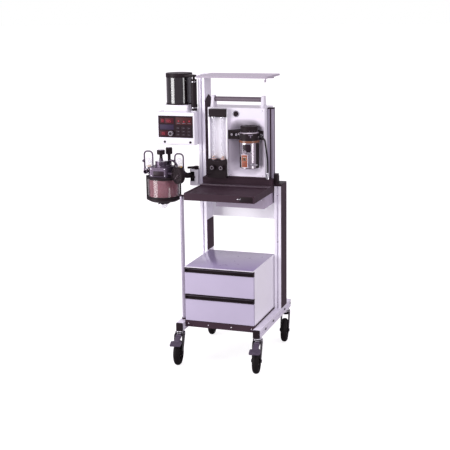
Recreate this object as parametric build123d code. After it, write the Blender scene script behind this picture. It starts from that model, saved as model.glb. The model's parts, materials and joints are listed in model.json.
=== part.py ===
from build123d import *
import os
from math import sin, cos, radians

# Anesthesia machine on a four-wheeled trolley, in millimetres.
# +X is the user's right, -Y is the front, +Z is up. Everything is first placed with x = 0 on the
# trolley's centre line, y = 0 between the wheels and z = 0 on the floor, and is moved at the end so
# that the origin is at the bottom centre of the whole machine's box.

# ---------------------------------------------------------------- driving dimensions
GAP = 0.3                    # air between two bodies that slide past each other
FIT = 0.06                   # radial clearance of a pin in its bore

# trolley base
RAIL_X = 200                 # rail centre line, left and right
RAIL_W = 36
RAIL_H = 42
RAIL_Z = 164                 # underside of the rails
RAIL_FRONT = -208
RAIL_REAR = 336
RAIL_TOP = RAIL_Z + RAIL_H
PLUG_DEPTH = 60              # how far the end blocks reach into the rails
DECK_TOP = 212

# casters
WHEEL_D = 125
WHEEL_W = 32
TRAIL = 45                   # wheel axle ahead of the swivel axis
CASTER_TURN = 9              # degrees, how the casters stand at rest
SWIVEL_X = 203
SWIVEL_FRONT = -198
SWIVEL_REAR = 294
CASTERS = {
    "front_left": (-SWIVEL_X, SWIVEL_FRONT),
    "front_right": (SWIVEL_X, SWIVEL_FRONT),
    "rear_left": (-SWIVEL_X, SWIVEL_REAR),
    "rear_right": (SWIVEL_X, SWIVEL_REAR),
}
STEM_R = 6
FLANGE_Z = RAIL_Z - 5        # underside of the caster flange
CROWN_TOP = FLANGE_Z - GAP
CROWN_BOTTOM = 139
LEG_IN = 18                  # half the gap between the fork's legs
LEG_T = 4
AXLE_R = 5
PEDAL_Y = -32                # pedal hinge, from the swivel axis
PEDAL_Z = 145
PEDAL_PIN_R = 2.5
PEDAL_W = 54
PEDAL_TILT = 12              # degrees, how far the pedal slopes down to the front

# columns and posts
COLUMN_FRONT = 157
COLUMN_REAR = 253
LEFT_COLUMN_TOP = 1400
RIGHT_COLUMN_TOP = 848
FRONT_POST = (-200, -141)
FRONT_POST_R = 9.5
POST_X = 167                 # upper post centre
POST_Y = 165
POST_W = 30
POST_TOP = 1236

# drawer cabinet
CAB_W = 357
CAB_FRONT = -179
CAB_REAR = 182
CAB_TOP = 489
SHEET = 2
DRAWER_FACE_T = 14
DRAWER_TRAVEL = 280
LOWER_DRAWER_Z = 215
UPPER_DRAWER_Z = 351
DRAWER_FACE_H = 110          # painted face, without the handle strip
HANDLE_H = 24

# worktop
TOP_W = 360
TOP_FRONT = -166
TOP_Z0 = 819
TOP_Z1 = 854
PLINTH_FRONT = 108
PLINTH_TOP = 888

# gas cabinet
GAS_W = 300
GAS_FRONT = 110
GAS_REAR = 250
GAS_TOP = 1243
NICHE = (-44, 145, 900, 1191)    # left, right, bottom, top of the vaporizer niche
NICHE_DEPTH = 62

# flowmeter
TUBE_X = (-114, -67)         # oxygen on the left, second gas on the right
TUBE_R = 11
TUBE_Y = 95
FLOW_BLOCK = (-141, -44)
FLOW_BLOCK_TOP = 985
FLOW_CAP_Z = 1198
KNOB_Z = 945
FLOAT_TRAVEL = 165

# flush button
FLUSH = (0, 1213)
FLUSH_R = 12
FLUSH_TRAVEL = 5

# vaporizer
VAP_X = 77
VAP_Y = 84
VAP_R = 49
VAP_Z0 = 949
VAP_HEAD_Z = 1083
DIAL_Z = 1130
DIAL_TOP = 1158
BAR_Z = (1088, 1132)
BAR_FRONT = 100

PORT_X = (-16, 8)            # capped ports in the manifold

# fresh-gas hose
HOSE_ROUTE = [(135, 93, 1112), (135, 66, 1112), (162, 68, 1095), (161, 118, 985), (161, 118, 921)]
HOSE_BENDS = [12, 20, 110]
HOSE_R = 4.2

# top shelf
SHELF = (-181.7, 184, 35, 261)
SHELF_Z = 1403

# ventilator
VENT = (-427, -218.3, 100, 300, 1048, 1214)
PANEL = (-416, -227, 1085, 1196)
VENT_KNOB = (-345, 1107)
CAN_X = -336
CAN_Y = 200
CAN_R = 66.5
CAN_Z0 = 1247
CAN_Z1 = 1390
SPILL = (-235.5, 148)
BELLOWS_TRAVEL = 90
BELLOWS_R = 50

# absorber
ABS_X = -370
ABS_Y = 40
FLANGE_R = 89
GLASS_R = 80
GLASS_Z0 = 792
GLASS_Z1 = 889
HEAD_Z0 = 897
HEAD_Z1 = 945
PIVOT = (-254, 160)
ARM_R = 14
ARM_END = (-338, 73)
ARM_BENDS = [(0.09, 886), (0.33, 886), (0.63, 916), (1, 916)]   # share of the way to the head, height
HUB_R = 15
EAR_LOW = (836, 856)
EAR_HIGH = (908, 918)
VALVES = {"left": (-450, 40), "right": (-293, 66)}
VALVE_SEAT_Z = 938
PORT_Z = 921
PORT_R = 11
PORT_LENGTH = 26
PORT_COLLAR = {"left": 20, "right": 28}
PORT_TURN = {"left": 0, "right": 45}    # degrees from the front towards the right, so a hose clears the gauge
BAIL_FOOT = 932
DOME_R = 17
BAIL_R = 4
BAIL_TOP = {"left": 1020, "right": 1008}
GAUGE_C = (-256, -40, 916)
GAUGE_R = 42
GAUGE_T = 22
GAUGE_FACING = (-0.5, -0.866, 0)
APL = (-379, 36)
SELECTOR = (-350, 74)
LEVER_PIVOT = (-231, 150)


# ---------------------------------------------------------------- small helpers
def block(x0, x1, y0, y1, z0, z1):
    """Box between two opposite corners."""
    return Pos((x0 + x1) / 2, (y0 + y1) / 2, (z0 + z1) / 2) * Box(x1 - x0, y1 - y0, z1 - z0)


def rod(start, direction, radius, length):
    """Round bar from a start point along a direction."""
    plane = Plane(origin=start, z_dir=direction)
    return plane * Cylinder(radius, length, align=(Align.CENTER, Align.CENTER, Align.MIN))


def post(x, y, z0, z1, radius):
    """Upright round bar."""
    return rod((x, y, z0), (0, 0, 1), radius, z1 - z0)


def along_x(x0, x1, y, z, radius):
    return rod((x0, y, z), (1, 0, 0), radius, x1 - x0)


def along_y(x, y0, y1, z, radius):
    return rod((x, y0, z), (0, 1, 0), radius, y1 - y0)


def rounded(shape, axis, radius):
    """Fillet the edges that run along one axis."""
    return fillet(shape.edges().filter_by(axis), radius)


def turned(x, y, profile):
    """Solid of revolution about an upright axis, from (radius, height) points."""
    outline = Polyline([(r, 0, z) for r, z in profile], close=True)
    face = make_face(outline)
    return Pos(x, y, 0) * revolve(face, Axis.Z, 360)


def knurled(radius, height, teeth, depth):
    """Disc with round-bottomed grip flutes, centred on the origin, standing on z = 0."""
    disc = Cylinder(radius, height, align=(Align.CENTER, Align.CENTER, Align.MIN))
    disc = chamfer(disc.edges().filter_by(GeomType.CIRCLE), height * 0.08)
    flute = Cylinder(depth * 1.5, height * 3)
    flutes = [Rot(0, 0, 360 * i / teeth) * Pos(radius + depth * 0.5, 0, 0) * flute for i in range(teeth)]
    return disc - flutes


def group(*shapes):
    """Several loose solids as one node."""
    return Compound([solid for shape in shapes for solid in shape.solids()])


# ---------------------------------------------------------------- trolley base
def rail(side):
    """Aluminium box section with a T-slot in its outer face and a bore at each caster."""
    outer = block(-RAIL_W / 2, RAIL_W / 2, RAIL_FRONT, RAIL_REAR, RAIL_Z, RAIL_TOP)
    outer = rounded(outer, Axis.Y, 1.5)
    hollow = block(-14.5, 11, RAIL_FRONT - 1, RAIL_REAR + 1, RAIL_Z + 3.5, RAIL_TOP - 3.5)
    slot = block(14, 20, RAIL_FRONT - 1, RAIL_REAR + 1, RAIL_Z + 17, RAIL_Z + 25)
    bar = outer - hollow - slot
    bores = [post(SWIVEL_X - RAIL_X, y, RAIL_Z - 1, RAIL_Z + 6, STEM_R) for y in (SWIVEL_FRONT, SWIVEL_REAR)]
    bar = bar - bores
    if side < 0:
        bar = mirror(bar, Plane.YZ)
    return Pos(side * RAIL_X, 0, 0) * bar


def caster_socket(x, y, rail_end, outward):
    """Black block that plugs a rail's end, with the caster's stem and flange under the rail."""
    side = 1 if x > 0 else -1
    cap_back = rail_end + outward * 7
    cap = block(-17, 17, min(rail_end, cap_back), max(rail_end, cap_back), RAIL_Z + 0.5, RAIL_TOP - 1)
    cap = rounded(cap, Axis.Y, 3)
    inner = rail_end - outward * PLUG_DEPTH
    plug = block(-14.3, 10.8, min(rail_end, inner), max(rail_end, inner), RAIL_Z + 3.7, RAIL_TOP - 3.7)
    body = Pos(side * RAIL_X, 0, 0) * (cap + (plug if side > 0 else mirror(plug, Plane.YZ)))
    stem = post(x, y, CROWN_BOTTOM + 1, RAIL_Z + 30, STEM_R - FIT)
    flange = post(x, y, FLANGE_Z, RAIL_Z, 17)
    return body + stem + flange


def base_deck():
    """Folded sheet pan between the rails, which carries the drawer cabinet."""
    pan = block(-182, 182, -178, 252, 181, DECK_TOP)
    inside = block(-180, 180, -176, 250, 180, DECK_TOP - 2.5)
    ribs = [block(x - 1, x + 1, -176, 250, 188, DECK_TOP - 2.5) for x in (-90, 0, 90)]
    return (pan - inside) + ribs


# ---------------------------------------------------------------- casters
def place_caster(shape, x, y):
    """Put a part that was drawn about the swivel axis on one of the four casters."""
    return Pos(x, y, 0) * Rot(0, 0, CASTER_TURN) * shape


def fork_leg(x0):
    """One side plate of the fork, from the crown down to the axle."""
    with BuildSketch(Plane.YZ.offset(x0)) as sketch:
        with Locations((-TRAIL, WHEEL_D / 2)):
            Circle(13)
        with Locations((PEDAL_Y, PEDAL_Z)):
            Circle(7)
        with Locations((6, 147)):
            Rectangle(32, 14)
        make_hull()
    return extrude(sketch.sketch, LEG_T)


def caster_fork():
    crown = post(0, 0, CROWN_BOTTOM, CROWN_TOP, 23)
    bridge = block(-LEG_IN - LEG_T, LEG_IN + LEG_T, -16, 22, CROWN_BOTTOM, CROWN_TOP - 4)
    legs = fork_leg(LEG_IN) + fork_leg(-LEG_IN - LEG_T)
    axle = along_x(-LEG_IN - LEG_T - 4, LEG_IN + LEG_T + 4, -TRAIL, WHEEL_D / 2, AXLE_R)
    nuts = [along_x(x, x + 4, -TRAIL, WHEEL_D / 2, 8) for x in (-LEG_IN - LEG_T - 4, LEG_IN + LEG_T)]
    fork = crown + bridge + legs + axle + nuts
    return fork - post(0, 0, CROWN_BOTTOM - 1, CROWN_TOP + 1, STEM_R)


def pedal_pin():
    return along_x(-LEG_IN - LEG_T, LEG_IN + LEG_T, PEDAL_Y, PEDAL_Z, PEDAL_PIN_R)


def caster_wheel():
    """Tyre and hub, turned about the axle."""
    r = WHEEL_D / 2
    w = WHEEL_W / 2
    hub_w = LEG_IN - 0.6
    with BuildSketch(Plane.XY) as sketch:
        with BuildLine():
            Polyline((-hub_w, AXLE_R + FIT), (-hub_w, 12), (-6, 15), (-6, 40), (-w + 4, 45), (-w, 49))
            Line((-w, 49), (-w, r - 12))
            ThreePointArc((-w, r - 12), (0, r), (w, r - 12))
            Polyline((w, r - 12), (w, 49), (w - 4, 45), (6, 40), (6, 15), (hub_w, 12), (hub_w, AXLE_R + FIT))
            Line((hub_w, AXLE_R + FIT), (-hub_w, AXLE_R + FIT))
        make_face()
    wheel = revolve(sketch.sketch, Axis.X, 360)
    return Pos(0, -TRAIL, WHEEL_D / 2) * Rot(90, 0, 0) * wheel


def brake_pedal():
    """Foot lever hinged between the fork's legs."""
    hub = along_x(-14, 14, PEDAL_Y, PEDAL_Z, 6)
    arm = block(-14, 14, PEDAL_Y - 60, PEDAL_Y, PEDAL_Z - 5, PEDAL_Z - 0.5)
    pad = block(-PEDAL_W / 2, PEDAL_W / 2, PEDAL_Y - 92, PEDAL_Y - 50, PEDAL_Z - 8, PEDAL_Z - 1)
    pad = rounded(pad, Axis.Z, 6)
    rib = PEDAL_W / 2 - 5
    ribs = [block(-rib, rib, y - 1.5, y + 1.5, PEDAL_Z - 2, PEDAL_Z + 0.6) for y in range(-117, -86, 6)]
    tilt = Pos(0, PEDAL_Y, PEDAL_Z) * Rot(PEDAL_TILT, 0, 0) * Pos(0, -PEDAL_Y, -PEDAL_Z)
    lever = tilt * (hub + arm + pad + ribs)
    return lever - along_x(-20, 20, PEDAL_Y, PEDAL_Z, PEDAL_PIN_R + FIT)


# ---------------------------------------------------------------- uprights
def column(x, z1):
    """Wide aluminium extrusion with a front T-slot and two slots in each side."""
    section = block(-18, 18, COLUMN_FRONT, COLUMN_REAR, RAIL_TOP, z1)
    section = rounded(section, Axis.Z, 1.5)
    low = RAIL_TOP - 1
    high = z1 + 1
    front_neck = block(-4, 4, COLUMN_FRONT - 1, COLUMN_FRONT + 3, low, high)
    front_room = block(-8, 8, COLUMN_FRONT + 3, COLUMN_FRONT + 9, low, high)
    cores = [block(-14, 14, y, y + 34, low, high) for y in (COLUMN_FRONT + 13, COLUMN_FRONT + 51)]
    return Pos(x, 0, 0) * (section - front_neck - front_room - cores)


def column_covers():
    """Dark cable covers on the columns, the plastic caps on their tops and the post's clamp block."""
    with BuildSketch(Plane.YZ.offset(-182)) as sketch:
        with BuildLine():
            Polyline((COLUMN_FRONT + 2, PLINTH_TOP), (COLUMN_FRONT + 2, 1270), (211, 1298), (251, 1276),
                     (251, PLINTH_TOP), close=True)
        make_face()
    upper = extrude(sketch.sketch, 3.5)
    lower = block(-182, -178.8, COLUMN_FRONT + 2, 251, CAB_TOP + 3, 652)
    right = block(218, 220.5, COLUMN_FRONT + 1, 252, RAIL_TOP + 2, RIGHT_COLUMN_TOP)
    cap = block(182.5, 220.5, COLUMN_FRONT - 1, COLUMN_REAR + 1, RIGHT_COLUMN_TOP, RIGHT_COLUMN_TOP + 11)
    cap = rounded(cap, Axis.Z, 4)
    post_cap = rounded(block(POST_X - 15.5, POST_X + 15.5, 149.3, 180.7, POST_TOP, POST_TOP + 6), Axis.Z, 3)
    clamp = rounded(block(182, 200, 150, 186, RIGHT_COLUMN_TOP + 11, 910), Axis.Z, 3)
    post_foot = post(*FRONT_POST, 833, 839, 11.5) + post(*FRONT_POST, RAIL_TOP, RAIL_TOP + 8, 12.5)
    post_foot = post_foot - post(*FRONT_POST, RAIL_TOP - 1, 833, FRONT_POST_R)
    return group(upper, lower, right, cap, post_cap, clamp, post_foot)


def posts():
    """Slim round post at the front left, and the square post beside the gas cabinet."""
    x, y = FRONT_POST
    slim = post(x, y, RAIL_TOP, 833, FRONT_POST_R) + along_x(x, -TOP_W / 2, y, 828, 3)
    h = POST_W / 2
    square = rounded(block(POST_X - h, POST_X + h, POST_Y - h, POST_Y + h, PLINTH_TOP, POST_TOP), Axis.Z, 1.5)
    low = PLINTH_TOP - 1
    high = POST_TOP + 1
    slots = [Rot(0, 0, 90 * i) * block(h - 6, h + 1, -4, 4, low, high) for i in range(4)]
    slots = [Pos(POST_X, POST_Y, 0) * slot for slot in slots]
    return group(slim, square - slots - post(POST_X, POST_Y, low, high, 4))


def rear_panels():
    """White sheet between the columns, and the back cover of the gas cabinet."""
    low = block(-182, 182, 244, 247, 660, TOP_Z0)
    cover = rounded(block(-150, 150, GAS_REAR, GAS_REAR + 2, PLINTH_TOP, GAS_TOP), Axis.Y, 3)
    louvres = [block(-100, 100, GAS_REAR - 1, GAS_REAR + 3, z, z + 5) for z in range(1120, 1200, 14)]
    return group(low, cover - louvres)


# ---------------------------------------------------------------- drawers
def drawer_cabinet():
    """Sheet-metal cabinet, open at the front, with runner rails inside."""
    half = CAB_W / 2
    back_of_face = CAB_FRONT + DRAWER_FACE_T + 1
    shell = block(-half, half, back_of_face, CAB_REAR, DECK_TOP, CAB_TOP)
    top = block(-half, half, CAB_FRONT - 1, CAB_REAR, CAB_TOP - 3, CAB_TOP)
    room = block(-half + SHEET, half - SHEET, back_of_face - 5, CAB_REAR - SHEET, DECK_TOP + SHEET, CAB_TOP - 3)
    box = (shell - room) + top
    for z in (LOWER_DRAWER_Z + 52, UPPER_DRAWER_Z + 52):
        for side in (-1, 1):
            inner = side * 169.5
            outer = side * (half - SHEET)
            box = box + block(min(inner, outer), max(inner, outer), -140, 170, z, z + 8)
    return box


def drawer(z0):
    """Open sheet tray with its painted face."""
    half = CAB_W / 2 - 0.5
    back = CAB_FRONT + DRAWER_FACE_T
    face = block(-half, half, CAB_FRONT, back, z0, z0 + DRAWER_FACE_H)
    face = rounded(face, Axis.Z, 1.5)
    tray = block(-168.5, 168.5, back, 172, z0 + 6, z0 + 100)
    room = block(-167, 167, back + 1.5, 170.5, z0 + 7.5, z0 + 101)
    return face + (tray - room)


def drawer_handle(z0):
    """Black grip strip along the top of a drawer's face, hollowed from the front for the fingers."""
    half = CAB_W / 2
    z1 = z0 + DRAWER_FACE_H
    back = CAB_FRONT + DRAWER_FACE_T
    strip = block(-half, half, CAB_FRONT - 3, back, z1, z1 + HANDLE_H)
    groove = block(-half + 3, half - 3, CAB_FRONT - 4, CAB_FRONT + 8, z1 + 5, z1 + 17)
    return strip - groove


# ---------------------------------------------------------------- worktop
def worktop():
    """Dark tray top, with a shallow rim round its flat."""
    half = TOP_W / 2
    slab = block(-half, half, TOP_FRONT, COLUMN_REAR, TOP_Z0, TOP_Z1)
    slab = rounded(slab, Axis.Z, 3)
    flat = block(-half + 6, half - 6, TOP_FRONT + 6, 62, TOP_Z1 - 3, TOP_Z1 + 1)
    under = block(-half + 3, half - 3, TOP_FRONT + 3, COLUMN_REAR - 3, TOP_Z0 - 1, TOP_Z1 - 7)
    return slab - flat - under


def plinth():
    """Dark box under the gas cabinet."""
    return block(-182, 182, PLINTH_FRONT, COLUMN_REAR, TOP_Z1, PLINTH_TOP)


def under_box():
    """Shallow grey box hung under the worktop."""
    box = block(-81, 173, 20, 200, 757, TOP_Z0)
    return rounded(box, Axis.Z, 2)


# ---------------------------------------------------------------- gas cabinet and shelf
def gas_cabinet():
    """White cabinet with the vaporizer's niche, open at the back, and the ears of the handle tube."""
    half = GAS_W / 2
    left, right, low, high = NICHE
    back = GAS_FRONT + NICHE_DEPTH
    shell = rounded(block(-half, half, GAS_FRONT, GAS_REAR, PLINTH_TOP, GAS_TOP), Axis.Z, 3)
    room = block(-half + SHEET, half - SHEET, GAS_FRONT + SHEET, GAS_REAR + 1, PLINTH_TOP + SHEET, GAS_TOP - SHEET)
    lining = block(left - SHEET, right + SHEET, GAS_FRONT, back + SHEET, low - SHEET, high + SHEET)
    niche = rounded(block(left, right, GAS_FRONT - 5, back, low, high), Axis.Y, 6)
    box = (shell - room) + lining - niche
    for side in (-1, 1):
        with BuildSketch(Plane.YZ.offset(side * 131 - 7)) as sketch:
            with BuildLine():
                Polyline((122, GAS_TOP), (136, 1300), (166, 1300), (180, GAS_TOP), close=True)
            make_face()
        box = box + extrude(sketch.sketch, 14)
    sleeve = along_y(FLUSH[0], GAS_FRONT, GAS_FRONT + 14, FLUSH[1], FLUSH_R + 3)
    bore = along_y(FLUSH[0], GAS_FRONT - 1, GAS_FRONT + 12, FLUSH[1], FLUSH_R + FIT)
    return box + sleeve - bore


def handle_tube():
    tube = along_x(-124, 124, 151, 1282, 12)
    return tube - along_x(-125, 125, 151, 1282, 9.5)


def top_shelf():
    """Thin tray shelf, hung from the left column, with a hook under its front right corner."""
    x0, x1, y0, y1 = SHELF
    plate = rounded(block(x0, x1, y0, y1, SHELF_Z - 9, SHELF_Z), Axis.Z, 4)
    under = block(x0 + 2, x1 - 2, y0 + 2, y1 - 2, SHELF_Z - 10, SHELF_Z - 2)
    beam = block(x0, x1 - 20, 196, 226, SHELF_Z - 20, SHELF_Z - 2)
    hook = post(174, 48, SHELF_Z - 24, SHELF_Z - 2, 3) + rod((174, 48, SHELF_Z - 24), (0, -1, 0), 3, 14)
    tip = post(174, 34, SHELF_Z - 27, SHELF_Z - 14, 3)
    return (plate - under) + beam + hook + tip


# ---------------------------------------------------------------- flowmeter
def flow_blocks():
    """Black valve block at the foot of the tubes and the black block on their tops."""
    x0, x1 = FLOW_BLOCK
    front = 76
    low = block(x0, x1, front, GAS_FRONT, PLINTH_TOP + 4, FLOW_BLOCK_TOP)
    low = chamfer(low.edges().filter_by(Axis.X).group_by(Axis.Y)[0].sort_by(Axis.Z)[-1], 14)
    high = rounded(block(x0 + 6, x1, 80, GAS_FRONT, FLOW_CAP_Z, 1237), Axis.Z, 2)
    for x in TUBE_X:
        low = low - along_y(x, front - 1, front + 20, KNOB_Z, 4)
        low = low - post(x, TUBE_Y, FLOW_BLOCK_TOP - 6, FLOW_BLOCK_TOP + 1, TUBE_R)
        high = high - post(x, TUBE_Y, FLOW_CAP_Z - 1, FLOW_CAP_Z + 6, TUBE_R)
    return group(low, high)


def flow_tubes():
    """Two glass metering tubes."""
    tubes = []
    for x in TUBE_X:
        glass = post(x, TUBE_Y, FLOW_BLOCK_TOP - 6, FLOW_CAP_Z + 6, TUBE_R)
        bore = post(x, TUBE_Y, FLOW_BLOCK_TOP - 2, FLOW_CAP_Z + 7, TUBE_R - 3)
        tubes.append(glass - bore)
    return group(*tubes)


def flow_float(x):
    """Spinning-top float."""
    z = FLOW_BLOCK_TOP - 1.5
    return turned(x, TUBE_Y, [(0, z), (3, z + 3), (3, z + 9), (6.8, z + 13), (6.8, z + 16), (0, z + 16)])


def flow_knob(x):
    """Fluted needle-valve knob on its spindle."""
    knob = Rot(90, 0, 0) * knurled(12.5, 17, 12, 0.9)
    knob = Pos(x, 75.4, KNOB_Z) * knob
    spindle = along_y(x, 75, 94, KNOB_Z, 4 - FIT)
    return knob + spindle


def flush_button():
    """Push button in the cabinet's front."""
    button = along_y(FLUSH[0], GAS_FRONT - 8, GAS_FRONT + 5, FLUSH[1], FLUSH_R)
    return fillet(button.edges().group_by(Axis.Y)[0], 2)


# ---------------------------------------------------------------- vaporizer
def vaporizer_manifold():
    """Black bar across the niche that the vaporizer seats on."""
    left, right, low, high = NICHE
    bar = block(left + 3, right - 2, BAR_FRONT, GAS_FRONT + NICHE_DEPTH, *BAR_Z)
    bar = rounded(bar, Axis.Z, 5)
    ports = [along_y(x, BAR_FRONT - 8, BAR_FRONT + 2, 1112, 8) for x in PORT_X]
    return bar + ports - post(VAP_X, VAP_Y, BAR_Z[0] - 1, BAR_Z[1] + 1, VAP_R)


def vaporizer_body():
    """Steel body with its filler block, sight window and wick chamber head."""
    body = turned(VAP_X, VAP_Y, [
        (0, VAP_Z0), (VAP_R - 5, VAP_Z0), (VAP_R - 2, VAP_Z0 + 3), (VAP_R - 2, VAP_HEAD_Z), (VAP_R, VAP_HEAD_Z),
        (VAP_R, DIAL_Z - 5), (VAP_R - 4, DIAL_Z - 0.4), (7, DIAL_Z - 0.4), (7, DIAL_Z + 14), (0, DIAL_Z + 14)])
    filler = block(53, 87, VAP_Y - VAP_R - 9, VAP_Y, 957, 1024)
    filler = rounded(filler, Axis.Z, 3)
    spout = along_y(70, VAP_Y - VAP_R - 5, VAP_Y - 30, 1034, 9)
    mouth = rod((70, VAP_Y - VAP_R - 10, 1000), (0, 1, 0), 6, 14)
    return body + spout + filler - mouth


def vaporizer_dial():
    """Concentration dial."""
    dial = Pos(VAP_X, VAP_Y, DIAL_Z) * knurled(43, DIAL_TOP - DIAL_Z, 36, 1.2)
    return dial - post(VAP_X, VAP_Y, DIAL_Z - 1, DIAL_Z + 15, 7 + FIT)


def filler_lever():
    """Small lever that opens the filler valve, on a pin in the side of the body."""
    x = 110
    pin = rod((x - 4, 43, 972), (0, -1, 0), 3 - FIT, 14)
    hub = rod((x - 4, 40, 972), (0, -1, 0), 7, 7)
    bar = block(x - 4, x + 24, 33, 39, 968.5, 975.5)
    return pin + hub + rounded(bar, Axis.Y, 3)


def lever_boss():
    """Boss on the vaporizer that holds the filler lever's pin."""
    x = 106
    boss = rod((x, 62, 972), (0, -1, 0), 8, 21)
    return boss - rod((x, 50, 972), (0, -1, 0), 3, 12)


# ---------------------------------------------------------------- gas hose
def fresh_gas_hose():
    """Hose from the manifold, over the cabinet's edge and down to the plinth."""
    path = FilletPolyline(*HOSE_ROUTE, radius=HOSE_BENDS)
    section = Plane(origin=path @ 0, z_dir=path % 0) * Circle(HOSE_R)
    return sweep(section, path=path)


def gas_fittings():
    """Chrome hose ends, port caps and the gas inlets on the back."""
    x, y, z = HOSE_ROUTE[0]
    start = along_y(x, y, BAR_FRONT, z, 7)
    x, y, z = HOSE_ROUTE[-1]
    end = post(x, y, PLINTH_TOP, z, 6) + post(x, y, PLINTH_TOP, PLINTH_TOP + 9, 9)
    caps = [along_y(x, BAR_FRONT - 13, BAR_FRONT - 8, 1112, 6) for x in PORT_X]
    inlets = [along_y(x, GAS_REAR + 2, GAS_REAR + 20, 930, 9) + along_y(x, GAS_REAR + 20, GAS_REAR + 38, 930, 6)
              for x in (-110, -70)]
    return group(start, end, *caps, *inlets)


# ---------------------------------------------------------------- ventilator
def ventilator_case():
    """White case with the bellows plinth, a recess for its panel and a mains inlet at the back."""
    x0, x1, y0, y1, z0, z1 = VENT
    case = fillet(block(x0, x1, y0, y1, z0, z1).edges().group_by(Axis.Y)[0], 4)
    px0, px1, pz0, pz1 = PANEL
    case = case - block(px0, px1, y0 - 1, y0 + 3, pz0, pz1)
    case = case - block(x0 + 4, x1 - 4, y0 + 7, y1 - 4, z0 + 4, z1 - 4)
    case = case + block(x0 + 26, x0 + 82, y1 - 24, y1 - 3, z0 + 26, z0 + 60)
    inlet = block(x0 + 30, x0 + 78, y1 - 18, y1 + 1, z0 + 30, z0 + 56)
    stand = rounded(block(CAN_X - 64, CAN_X + 71, 131, 269, z1, CAN_Z0), Axis.Z, 8)
    seat = rounded(block(SPILL[0] - 13, SPILL[0] + 13, SPILL[1] - 13, SPILL[1] + 13, z1, z1 + 6), Axis.Z, 5)
    return case - inlet + stand + seat


def ventilator_panel():
    """Dark front plate with the bores of its knob."""
    px0, px1, pz0, pz1 = PANEL
    y0 = VENT[2]
    plate = block(px0 + 0.5, px1 - 0.5, y0 - 1, y0 + 3, pz0 + 0.5, pz1 - 0.5)
    return plate - along_y(VENT_KNOB[0], y0 - 2, y0 + 4, VENT_KNOB[1], 3)


def ventilator_knob():
    x, z = VENT_KNOB
    y0 = VENT[2]
    knob = Pos(x, y0 - 1 - GAP, z) * Rot(90, 0, 0) * knurled(13, 15, 16, 0.8)
    return knob + along_y(x, y0 - 2, y0 + 2.5, z, 3 - FIT)


def bellows_canister():
    """Smoked clear cylinder round the bellows."""
    wall = post(CAN_X, CAN_Y, CAN_Z0, CAN_Z1, CAN_R)
    return wall - post(CAN_X, CAN_Y, CAN_Z0 - 1, CAN_Z1 + 1, CAN_R - 3)


def bellows_lid():
    """Black lid with a lug that holds the spill-valve tube beside the canister."""
    lid = post(CAN_X, CAN_Y, CAN_Z1, CAN_Z1 + 16, CAN_R + 2)
    lid = fillet(lid.edges().group_by(Axis.Z)[-1], 3)
    sx, sy = SPILL
    with BuildSketch(Plane.XY.offset(CAN_Z1)) as sketch:
        with Locations((CAN_X, CAN_Y)):
            Circle(30)
        with Locations((sx, sy)):
            Circle(14)
        make_hull()
    lug = extrude(sketch.sketch, 10)
    tube = post(sx, sy, 1220, 1378, 14.5) + post(sx, sy, 1238, 1252, 16.5) + post(sx, sy, 1378, CAN_Z1 + 2, 6)
    return lid + lug + tube


def bellows():
    """Folded rubber bellows, standing on the plinth."""
    folds = 12
    pitch = 10
    profile = [(0, CAN_Z0)]
    for i in range(folds):
        z = CAN_Z0 + i * pitch
        profile.append((BELLOWS_R - 9, z))
        profile.append((BELLOWS_R, z + pitch / 2))
    profile.append((BELLOWS_R - 9, CAN_Z0 + folds * pitch))
    profile.append((0, CAN_Z0 + folds * pitch))
    room = post(CAN_X, CAN_Y, CAN_Z0 - 1, CAN_Z0 + folds * pitch - 4, BELLOWS_R - 12)
    return turned(CAN_X, CAN_Y, profile) - room


# ---------------------------------------------------------------- absorber arm
def arm_bracket():
    """White clevis bolted to the left column's side, with the arm's hinge pin."""
    x, y = PIVOT
    back = block(-236, -218, 130, 190, EAR_LOW[0], EAR_HIGH[1])
    ears = []
    for z0, z1 in (EAR_LOW, EAR_HIGH):
        ears.append(block(x, -230, 130, 190, z0, z1) + post(x, y, z0, z1, 17) + block(x - 8, x, 134, 186, z0, z1))
    pin = post(x, y, EAR_LOW[0], EAR_HIGH[1], 5)
    boss = post(*LEVER_PIVOT, EAR_HIGH[1], EAR_HIGH[1] + 12, 4)
    return back + ears + pin + boss


def clamp_lever():
    """Black clamping lever on top of the bracket."""
    x, y = LEVER_PIVOT
    z = EAR_HIGH[1] + GAP
    hub = post(x, y, z, z + 17, 12)
    with BuildSketch(Plane.XY.offset(z + 6)) as sketch:
        with Locations((x, y)):
            Circle(9)
        with Locations((x - 34, y - 26)):
            Circle(6)
        make_hull()
    return hub + extrude(sketch.sketch, 10) - post(x, y, z - 1, z + 12.3, 4 + FIT)


def absorber_arm():
    """Black arm from the hinge to the absorber's head, cranked up over the canister's flange."""
    x, y = PIVOT
    bore = post(x, y, EAR_LOW[1] - 6, EAR_HIGH[0] + 7, 5 + FIT)
    hub = post(x, y, EAR_LOW[1] + GAP, EAR_HIGH[0] - GAP, HUB_R) - bore
    reach = Vector(ARM_END[0] - x, ARM_END[1] - y, 0)
    path = FilletPolyline(*[Vector(x, y, z) + reach * share for share, z in ARM_BENDS], radius=20)
    bar = sweep(Plane(origin=path @ 0, z_dir=path % 0) * Circle(ARM_R), path=path)
    bar = bar - post(x, y, EAR_LOW[1] - 6, EAR_HIGH[0] + 7, HUB_R - 2)
    bar = bar - head_block() - valve_wing("right")
    return hub + bar


def head_block():
    """Machined block that carries the valves and knobs."""
    return block(-432, -322, -12, 92, HEAD_Z0, HEAD_Z1)


def valve_wing(side):
    """Arm of the head block that reaches out under a valve."""
    x, y = VALVES[side]
    inward = -1 if x > ABS_X else 1
    return block(min(x, x + inward * 34), max(x, x + inward * 34), y - 13, y + 13, 908, 930)


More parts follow.
